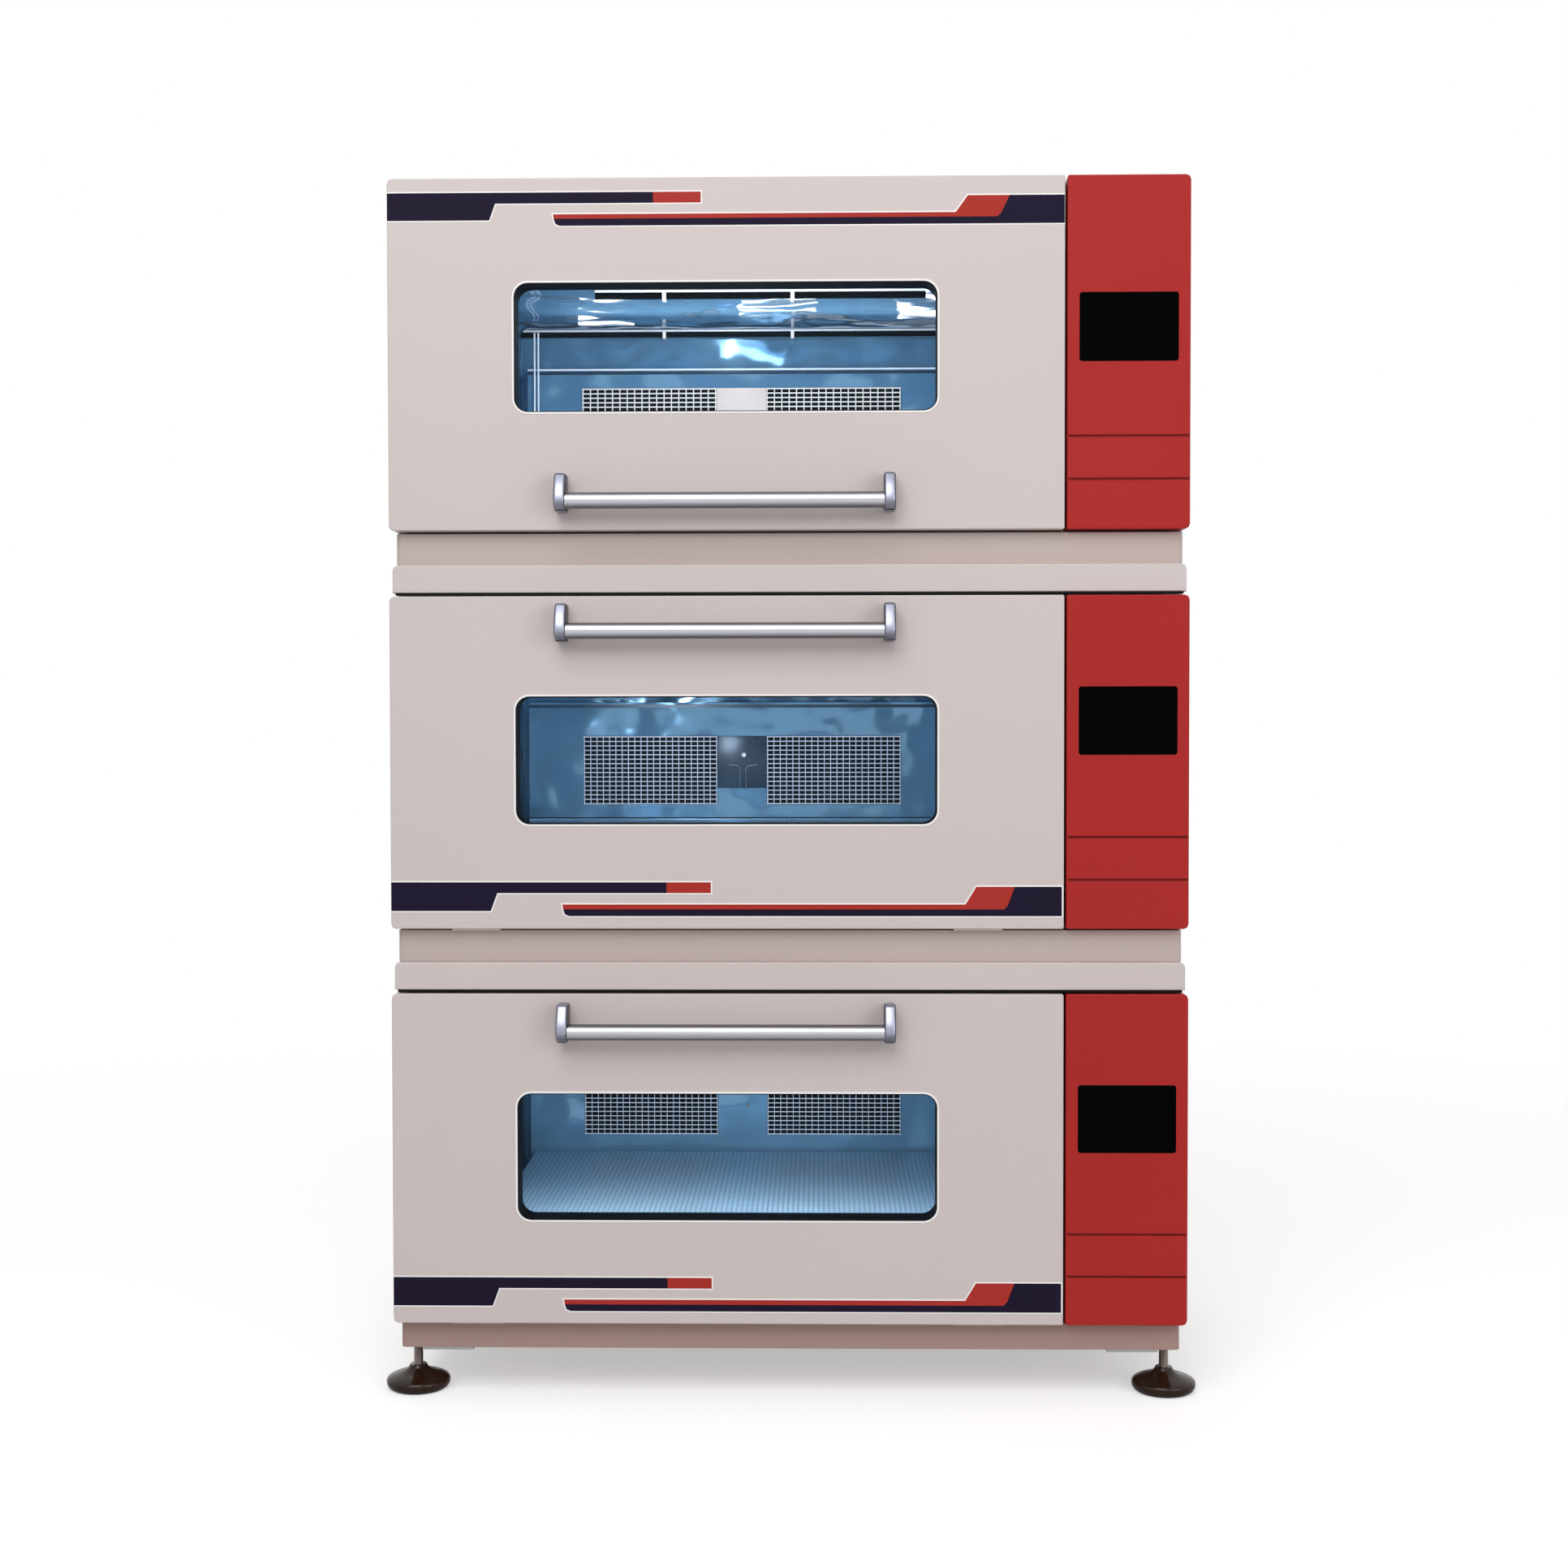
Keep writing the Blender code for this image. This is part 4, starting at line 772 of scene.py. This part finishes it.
def dress_duct(unit):
    """What the duct's face carries: the strips across it and what lies between its grilles."""
    front = unit.duct[0].y - FRONT
    top = unit.duct[1].z
    ends = (unit.duct[0].x + DUCT_INSET, unit.duct[1].x - DUCT_INSET)

    def add_strip(word, depths, low, high, look, ease=0.0):
        form = bmesh.new()
        add_box(form, *ends, front - depths[0], front - depths[1], low, high, ease)
        piece(form, f"{unit.name}_duct_{word}", look, "stack")

    if unit.name != "bottom":
        dress_centre_plate(unit)
    if unit.name == "middle":
        dress_probe(unit)
        low, high = (unit.floor + rise for rise in FOLD_LINE_RISES)
        add_strip("fold_line", FOLD_LINE_DEPTHS, low, high, SHADE)
        low, high = (unit.floor + rise for rise in FOLD_RISES)
        add_strip("fold", FOLD_DEPTHS, low, high, FOLD, FOLD_EASE)
        dress_probe_tubes(unit)
    if unit.name == "bottom":
        form = bmesh.new()
        place = (DOOR_X + DUCT_SCREW_SHIFT, unit.duct[0].y, unit.floor + DUCT_SCREW_RISE)
        add_turned(form, DUCT_SCREW_PROFILE, "y", place, DUCT_SCREW_SIDES)
        piece(form, f"{unit.name}_duct_screw", SCREW, "stack")
    if unit.lifts:
        # Rounded bead along the duct's top front edge in white enamel: a painted highlight on the steel
        # sheet's edge
        form = bmesh.new()
        edge = circle(unit.duct[0].y + DUCT_BEAD_INSET, top - DUCT_BEAD_INSET, DUCT_BEAD_RADIUS,
                      DUCT_BEAD_SIDES)
        add_prism(form, edge, "x", *ends)
        piece(form, f"{unit.name}_duct_bead", RAIL, "stack")
    # Dark strip just under the duct's top edge: a painted shadow below that edge
    add_strip("edge_shadow", DUCT_SHADOW_DEPTHS, top - DUCT_SHADOW_DROPS[0], top - DUCT_SHADOW_DROPS[1], DARK_PANEL_AND_SHADOW)


LAMP_RAIL_DEPTH = 0.365
CORNER_RAIL_GAP = 0.012
RAIL_END_GAP = 0.004
# Left and right end, drop of the tube below the ceiling and the places of the clips
LAMP_RAIL = (-0.359, 0.247, 0.016, (-0.232, 0.003))
CORNER_RAIL = (-0.551, 0.323, 0.014, (-0.260, -0.002))
LAMP_TUBE_HALF = 0.005
LAMP_TUBE_RADIUS = 0.003
RAIL_HALF = 0.008
RAIL_THICKNESS = 0.004
RAIL_GAP = 0.0004
RAIL_EASE = 0.0006
CLIP_HALF = 0.0035
CLIP_REACH = 0.0085
CLIP_DROP = 0.004
CLIP_GAP = 0.0005
CLIP_EASE = 0.001


def dress_ceiling(unit):
    """Lamp rail under the chamber's ceiling and a rail along its rear corner, each held by clips."""
    ceiling = unit.chamber[1].z - LINER_WALL - GAP
    rear = unit.chamber[1].y - FRONT - LINER_WALL - GAP
    rails = bmesh.new()
    tubes = bmesh.new()
    clips = bmesh.new()
    for depth, rail in ((LAMP_RAIL_DEPTH, LAMP_RAIL), (rear - CORNER_RAIL_GAP, CORNER_RAIL)):
        left, right, drop, clip_places = rail
        left = max(left, unit.chamber[0].x + RAIL_END_GAP)
        outline = rounded(back(depth - LAMP_TUBE_HALF), back(depth + LAMP_TUBE_HALF), ceiling - drop,
                          ceiling - RAIL_THICKNESS, LAMP_TUBE_RADIUS, 3)
        add_prism(tubes, outline, "x", left, right)
        add_box(rails, left, right, depth - RAIL_HALF, depth + RAIL_HALF, ceiling - RAIL_THICKNESS,
                ceiling - RAIL_GAP, RAIL_EASE)
        for x in clip_places:
            add_box(clips, x - CLIP_HALF, x + CLIP_HALF, depth - CLIP_REACH, depth + CLIP_REACH,
                    ceiling - drop - CLIP_DROP, ceiling - CLIP_GAP, CLIP_EASE)
    piece(rails, f"{unit.name}_lamp_rails", RAIL, "stack")
    piece(tubes, f"{unit.name}_lamp_tubes", SHADE, "stack")
    piece(clips, f"{unit.name}_lamp_clips", CLIP_ENAMEL, "stack")


ROD_PLACES = (-0.5155, -0.5080)
ROD_DEPTH = 0.684
ROD_LOW = 0.116
ROD_TOP_DROP = 0.016
ROD_RADIUS = 0.0018


def dress_rods(unit):
    """Pair of upright rods beside the duct."""
    low, high = unit.floor + ROD_LOW, unit.chamber[1].z - ROD_TOP_DROP
    form = bmesh.new()
    for x in ROD_PLACES:
        add_tube(form, [(x, back(ROD_DEPTH), low), (x, back(ROD_DEPTH), high)], ROD_RADIUS)
    piece(form, f"{unit.name}_rods", RAIL, "stack")


# Feet

# Shares of the pad's radius and levels above the floor, up to the stem
PAD_PROFILE = (
    (0, 0.0), (0.86, 0.0), (0.93, 0.0025), (0.985, 0.0070), (0.999, 0.0110), (0.999, 0.0140),
    (0.985, 0.0165), (0.955, 0.0182), (0.88, 0.0205), (0.75, 0.0235), (0.60, 0.0262), (0.46, 0.0290),
    (0.36, 0.0322), (0.30, 0.0355), (0.270, 0.0385), (0.255, 0.0400),
)
PAD_TOP = 0.0400
PAD_TOP_SHARE = 0.9
PAD_SIDES = 72
PAD_SHARP = 50
STEM_LOW = 0.0385
STEM_GAP = 0.0005
THREAD_LOW = 0.0390
THREAD_PITCH = 0.0015
THREAD_CORE = 0.88
THREAD_SIDES = 32
THREAD_SHARP = 20
NUT_RADIUS = 0.0135
NUT_HEIGHT = 0.0075
NUT_EASE = 0.0005
# Ends of the cover beside a foot, measured from the stem's side
PLATE_NEAR = 0.0077
PLATE_FAR = 0.0933
PLATE_HALF = 0.0353
PLATE_DROP = 0.0083
PLATE_GAP = 0.0002


def dress_feet():
    """Glossy domed pads on threaded stems with a lock nut, each with a flat cover beside it."""
    for name in sorted(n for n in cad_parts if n.startswith("foot_")):
        low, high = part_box(name)
        x, y = (low.x + high.x) / 2, (low.y + high.y) / 2
        rim = (high.x - low.x) / 2
        form = bmesh.new()
        profile = [(rim * share, level) for share, level in PAD_PROFILE]
        add_turned(form, profile + [(STEM_RADIUS * PAD_TOP_SHARE, PAD_TOP)], "z", (x, y, 0), PAD_SIDES)
        pad = piece(form, f"{name}_pad", FOOT_PLASTIC, "stack", PAD_SHARP)
        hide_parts(name)
        form = bmesh.new()
        top = high.z - STEM_GAP
        thread = [(0, STEM_LOW)]
        for i in range(int((top - THREAD_LOW) / THREAD_PITCH)):
            level = THREAD_LOW + i * THREAD_PITCH
            thread += [(STEM_RADIUS * THREAD_CORE, level), (STEM_RADIUS, level + THREAD_PITCH / 2)]
        thread += [(STEM_RADIUS * THREAD_CORE, top), (0, top)]
        add_turned(form, thread, "z", (x, y, 0), THREAD_SIDES)
        add_prism(form, circle(x, y, NUT_RADIUS, 6), "z", top - NUT_HEIGHT, top, ease=NUT_EASE)
        piece(form, f"{name}_stem", STEM_METAL, "stack", sharp=THREAD_SHARP)
        form = bmesh.new()
        side = math.copysign(1, x)
        ends = sorted(x - side * (STEM_RADIUS + away) for away in (PLATE_NEAR, PLATE_FAR))
        depth = y - FRONT
        add_box(form, *ends, depth - PLATE_HALF, depth + PLATE_HALF, high.z - PLATE_DROP, high.z - PLATE_GAP)
        piece(form, f"{name}_plate", PLATE_METAL, "stack")


# Rear, where each profile is a radius and a place behind the rear face

SCREW_RADIUS = 0.0032
SCREW_PROFILE = [(SCREW_RADIUS, -0.0003), (SCREW_RADIUS, 0.0004), (SCREW_RADIUS * 0.8, 0.0012),
                 (SCREW_RADIUS * 0.3, 0.0015), (SCREW_RADIUS * 0.28, 0.0007), (0, 0.0007)]
SCREW_SIDES = 20
SCREW_COLUMNS = 7
SCREW_INSET = 0.022
SCREW_LOW = 0.030
SCREW_TOP_DROP = 0.025
SIDE_SCREW_SHARES = (0.33, 0.67)
SLEEVE_PROFILE = [
    (0.0084, 0.0002), (0.0084, 0.0050), (0.0053, 0.0052), (0.0050, 0.0070), (0.0058, 0.0072),
    (0.0046, 0.0104), (0.0054, 0.0106), (0.0044, 0.0148), (0.0030, 0.0149), (0.0030, 0.010), (0, 0.010),
]
SLEEVE_SIDES = 32
# Half the width, half the height and the corner radius
INLET_OUTSIDE = (0.0252, 0.0172, 0.004)
INLET_INSIDE = (0.0142, 0.0102, 0.003)
INLET_PIN = (0.001, 0.0025, 0.0004)
INLET_PLACES = (0.0002, 0.0066)
INLET_PIN_SPOTS = ((-0.007, 0.002), (0.007, 0.002), (0.0, -0.003))
INLET_PIN_PLACES = (-0.010, 0.003)


def inlet_outline(x, z, shape, steps=8):
    half_width, half_height, radius = shape
    return rounded(x - half_width, x + half_width, z - half_height, z + half_height, radius, steps)


def dress_rear(unit):
    """Screws of the rear cover, sleeves on the gas ports and the pins of the power inlet."""
    left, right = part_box(f"{unit.name}_housing")
    low, high = unit.floor + SCREW_LOW, right.z - SCREW_TOP_DROP
    span = right.x - left.x - 2 * SCREW_INSET
    columns = [left.x + SCREW_INSET + span * i / (SCREW_COLUMNS - 1) for i in range(SCREW_COLUMNS)]
    side_rows = [low + (high - low) * share for share in SIDE_SCREW_SHARES]
    spots = [(x, z) for x in columns for z in (low, high)]
    spots += [(x, z) for x in (columns[0], columns[-1]) for z in side_rows]
    form = bmesh.new()
    for x, z in spots:
        add_turned(form, SCREW_PROFILE, "y", (x, REAR_FACE, z), SCREW_SIDES)
    piece(form, f"{unit.name}_rear_screws", SCREW, "stack")
    form = bmesh.new()
    for x in (PORT_X, PORT_X - PORT_SPACING):
        add_turned(form, SLEEVE_PROFILE, "y", (x, REAR_FACE, unit.floor + PORT_RISE), SLEEVE_SIDES)
    piece(form, f"{unit.name}_port_sleeves", BRASS, "stack")
    form = bmesh.new()
    middle = unit.floor + INLET_RISE + INLET_HEIGHT / 2
    start, end = (REAR_FACE + place for place in INLET_PLACES)
    add_ring(form, inlet_outline(PORT_X, middle, INLET_OUTSIDE), inlet_outline(PORT_X, middle, INLET_INSIDE),
             "y", start, end)
    piece(form, f"{unit.name}_inlet_frame", RUBBER, "stack")
    form = bmesh.new()
    start, end = (REAR_FACE + place for place in INLET_PIN_PLACES)
    for x, z in INLET_PIN_SPOTS:
        add_prism(form, inlet_outline(PORT_X + x, middle + z, INLET_PIN, 2), "y", start, end)
    piece(form, f"{unit.name}_inlet_pins", BRASS, "stack")


# Stage

WORLD_LIGHT = 0.40
FLOOR_RADIUS = 4.0
FLOOR_SOLID = 1.0
FLOOR_FADE_END = 0.98
FLOOR_COLOUR = (0.78, 0.78, 0.78)
FLOOR_LIFT = 0.45
FLOOR_DROP = 0.0005
FLOOR_SIDES = 96
# Name, place, aim, width and height, and power
STUDIO_LIGHTS = (
    ("key", (-0.8, -4.2, 4.6), (0, 0, 1.3), 3.6, 150.0),
    ("fill", (3.2, -3.8, 2.0), (0, 0, 1.0), 2.4, 40.0),
    ("back_fill", (-0.6, 4.6, 3.6), (0, 0, 1.0), 4.0, 50.0),
)
# Depths, in each chamber, of its lamp and of what that is aimed at
LAMP_DEPTH = 0.085
LAMP_AIM_DEPTH = 0.700
LAMP_SIZE = (0.80, 0.22)
LAMP_POWER = {"bottom": 4.0, "middle": 3.6, "top": 5.2}
UPLIGHT_DEPTH = 0.560
UPLIGHT_AIM_DEPTH = 0.450
UPLIGHT_RISE = 0.400
UPLIGHT_SIZE = (0.70, 0.10)
UPLIGHT_POWER = 1.3
SPOT_AIM_DEPTH = 0.748
SPOT_AIM_RISE = 0.43
# Small lamps that show only as highlights: place beside the door's middle, depth, rise above the
# door's lower edge, width, height, power and whether it shines forward
SPOTS = {
    "bottom": (),
    "middle": ((-0.180, 0.080, 0.458, 0.110, 0.020, 1.4, False),),
    "top": (
        (0.000, 0.580, 0.462, 0.150, 0.040, 0.15, False),
        (-0.040, 0.570, 0.462, 0.030, 0.030, 0.15, False),
        (0.073, 0.700, 0.436, 0.150, 0.014, 0.08, True),
        (-0.270, 0.700, 0.468, 0.110, 0.006, 0.03, True),
        (0.358, 0.700, 0.442, 0.100, 0.024, 0.08, True),
    ),
}


def make_world():
    """Even white light, and a white background for what the camera and gloss see."""
    world = bpy.data.worlds.new("studio")
    bpy.context.scene.world = world
    world.use_nodes = True
    tree = world.node_tree
    light = tree.nodes["Background"]
    light.inputs["Color"].default_value = (1, 1, 1, 1)
    light.inputs["Strength"].default_value = WORLD_LIGHT
    shown = tree.nodes.new("ShaderNodeBackground")
    shown.inputs["Color"].default_value = (1, 1, 1, 1)
    shown.inputs["Strength"].default_value = 1.0
    rays = tree.nodes.new("ShaderNodeLightPath")
    seen = rays.outputs["Is Camera Ray"]
    for word in ("Is Glossy Ray", "Is Transmission Ray"):
        either = tree.nodes.new("ShaderNodeMath")
        either.operation = "MAXIMUM"
        tree.links.new(seen, either.inputs[0])
        tree.links.new(rays.outputs[word], either.inputs[1])
        seen = either.outputs[0]
    mix = tree.nodes.new("ShaderNodeMixShader")
    tree.links.new(seen, mix.inputs[0])
    tree.links.new(light.outputs[0], mix.inputs[1])
    tree.links.new(shown.outputs[0], mix.inputs[2])
    tree.links.new(mix.outputs[0], tree.nodes["World Output"].inputs["Surface"])


def make_floor():
    """Pale round floor that fades into the white background."""
    form = bmesh.new()
    bmesh.ops.create_circle(form, cap_ends=True, segments=FLOOR_SIDES, radius=FLOOR_RADIUS)
    mesh = bpy.data.meshes.new("floor")
    form.to_mesh(mesh)
    form.free()
    floor = bpy.data.objects.new("floor", mesh)
    floor.location.z = -FLOOR_DROP
    bpy.context.scene.collection.objects.link(floor)
    graph = Graph("floor_look")
    tree = graph.tree
    tree.nodes.remove(graph.shader)
    place = graph.add("TexCoord").outputs["Object"]
    reach = graph.add("VectorMath", {0: place}, operation="LENGTH").outputs["Value"]
    fade = graph.spread(reach, 0.0, 1.0, FLOOR_SOLID, FLOOR_RADIUS * FLOOR_FADE_END)
    matte = graph.add("BsdfDiffuse", {"Color": (*FLOOR_COLOUR, 1)}).outputs[0]
    seen = graph.add("LightPath").outputs["Is Camera Ray"]
    lift = graph.add("Emission", {"Strength": graph.maths("MULTIPLY", seen, FLOOR_LIFT)}).outputs[0]
    solid = graph.add("AddShader", {0: matte, 1: lift}).outputs[0]
    nothing = graph.add("BsdfTransparent").outputs[0]
    mix = graph.add("MixShader", {0: fade, 1: solid, 2: nothing}).outputs[0]
    tree.links.new(mix, tree.nodes["Material Output"].inputs["Surface"])
    mesh.materials.append(graph.material)


def add_light(name, place, aim, width, height, power, hidden_from=()):
    data = bpy.data.lights.new(name, "AREA")
    data.shape = "RECTANGLE"
    data.size, data.size_y = width, height
    data.energy = power
    light = bpy.data.objects.new(name, data)
    light.location = place
    light.rotation_euler = (Vector(aim) - Vector(place)).to_track_quat("-Z", "Y").to_euler()
    for rays in hidden_from:
        setattr(light, f"visible_{rays}", False)
    bpy.context.scene.collection.objects.link(light)


def light_chamber(name):
    """Lamp inside a unit's chamber, and the small ones for its highlights."""
    low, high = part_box(f"{name}_chamber")
    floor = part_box(f"{name}_control_fascia")[0].z
    middle = (low.z + high.z) / 2
    unseen = ("camera", "glossy")
    add_light(f"{name}_lamp", (DOOR_X, back(LAMP_DEPTH), middle), (DOOR_X, back(LAMP_AIM_DEPTH), middle),
              *LAMP_SIZE, LAMP_POWER[name], unseen)
    if name == "top":
        add_light("top_uplight", (DOOR_X, back(UPLIGHT_DEPTH), floor + UPLIGHT_RISE),
                  (DOOR_X, back(UPLIGHT_AIM_DEPTH), high.z), *UPLIGHT_SIZE, UPLIGHT_POWER, unseen)
    for index, (x, depth, rise, width, height, power, forward) in enumerate(SPOTS[name]):
        aim_depth, aim_rise = (0, rise) if forward else (SPOT_AIM_DEPTH, SPOT_AIM_RISE)
        place = (DOOR_X + x, back(depth), floor + rise)
        aim = (DOOR_X + x, back(aim_depth), floor + aim_rise)
        add_light(f"{name}_spot_{index}", place, aim, width, height, power, ("camera", "diffuse"))


def make_camera():
    data = bpy.data.cameras.new("camera")
    data.sensor_width = SENSOR
    data.lens = CAMERA_LENS
    camera = bpy.data.objects.new("camera", data)
    turn = Matrix.Rotation(math.radians(CAMERA_YAW), 4, "Z")
    tilt = Matrix.Rotation(math.radians(90 - CAMERA_PITCH), 4, "X")
    roll = Matrix.Rotation(math.radians(CAMERA_ROLL), 4, "Z")
    camera.matrix_world = Matrix.Translation(CAMERA_PLACE) @ turn @ tilt @ roll
    bpy.context.scene.collection.objects.link(camera)
    bpy.context.scene.camera = camera


def make_stage():
    make_world()
    make_floor()
    for name, place, aim, size, power in STUDIO_LIGHTS:
        add_light(name, place, aim, size, size, power)
    for name in UNITS:
        light_chamber(name)
    make_camera()
    bpy.context.scene.view_settings.view_transform = "Standard"


def dress_nodes():
    """Finish on each CAD solid's own material slots."""
    for name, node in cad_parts.items():
        kind = name.split("_", 1)[1]
        look = FOOT_PLASTIC if name.startswith("foot_") else NODE_LOOKS[kind]
        # The bottom plinth takes the darker copy of the plinth paint, painted shade
        if name == "bottom_plinth":
            look = BASE_SHADED_PAINT
        for slot in node.material_slots:
            slot.material = look


def main():
    dress_nodes()
    for name in UNITS:
        unit = Unit(name)
        dress_window(unit)
        dress_stripes(unit)
        dress_handle(unit)
        dress_groove_and_gap_shade(unit)
        dress_grilles(unit)
        dress_duct(unit)
        dress_ceiling(unit)
        if unit.lifts:
            dress_rods(unit)
        dress_rear(unit)
    dress_feet()
    make_stage()


main()
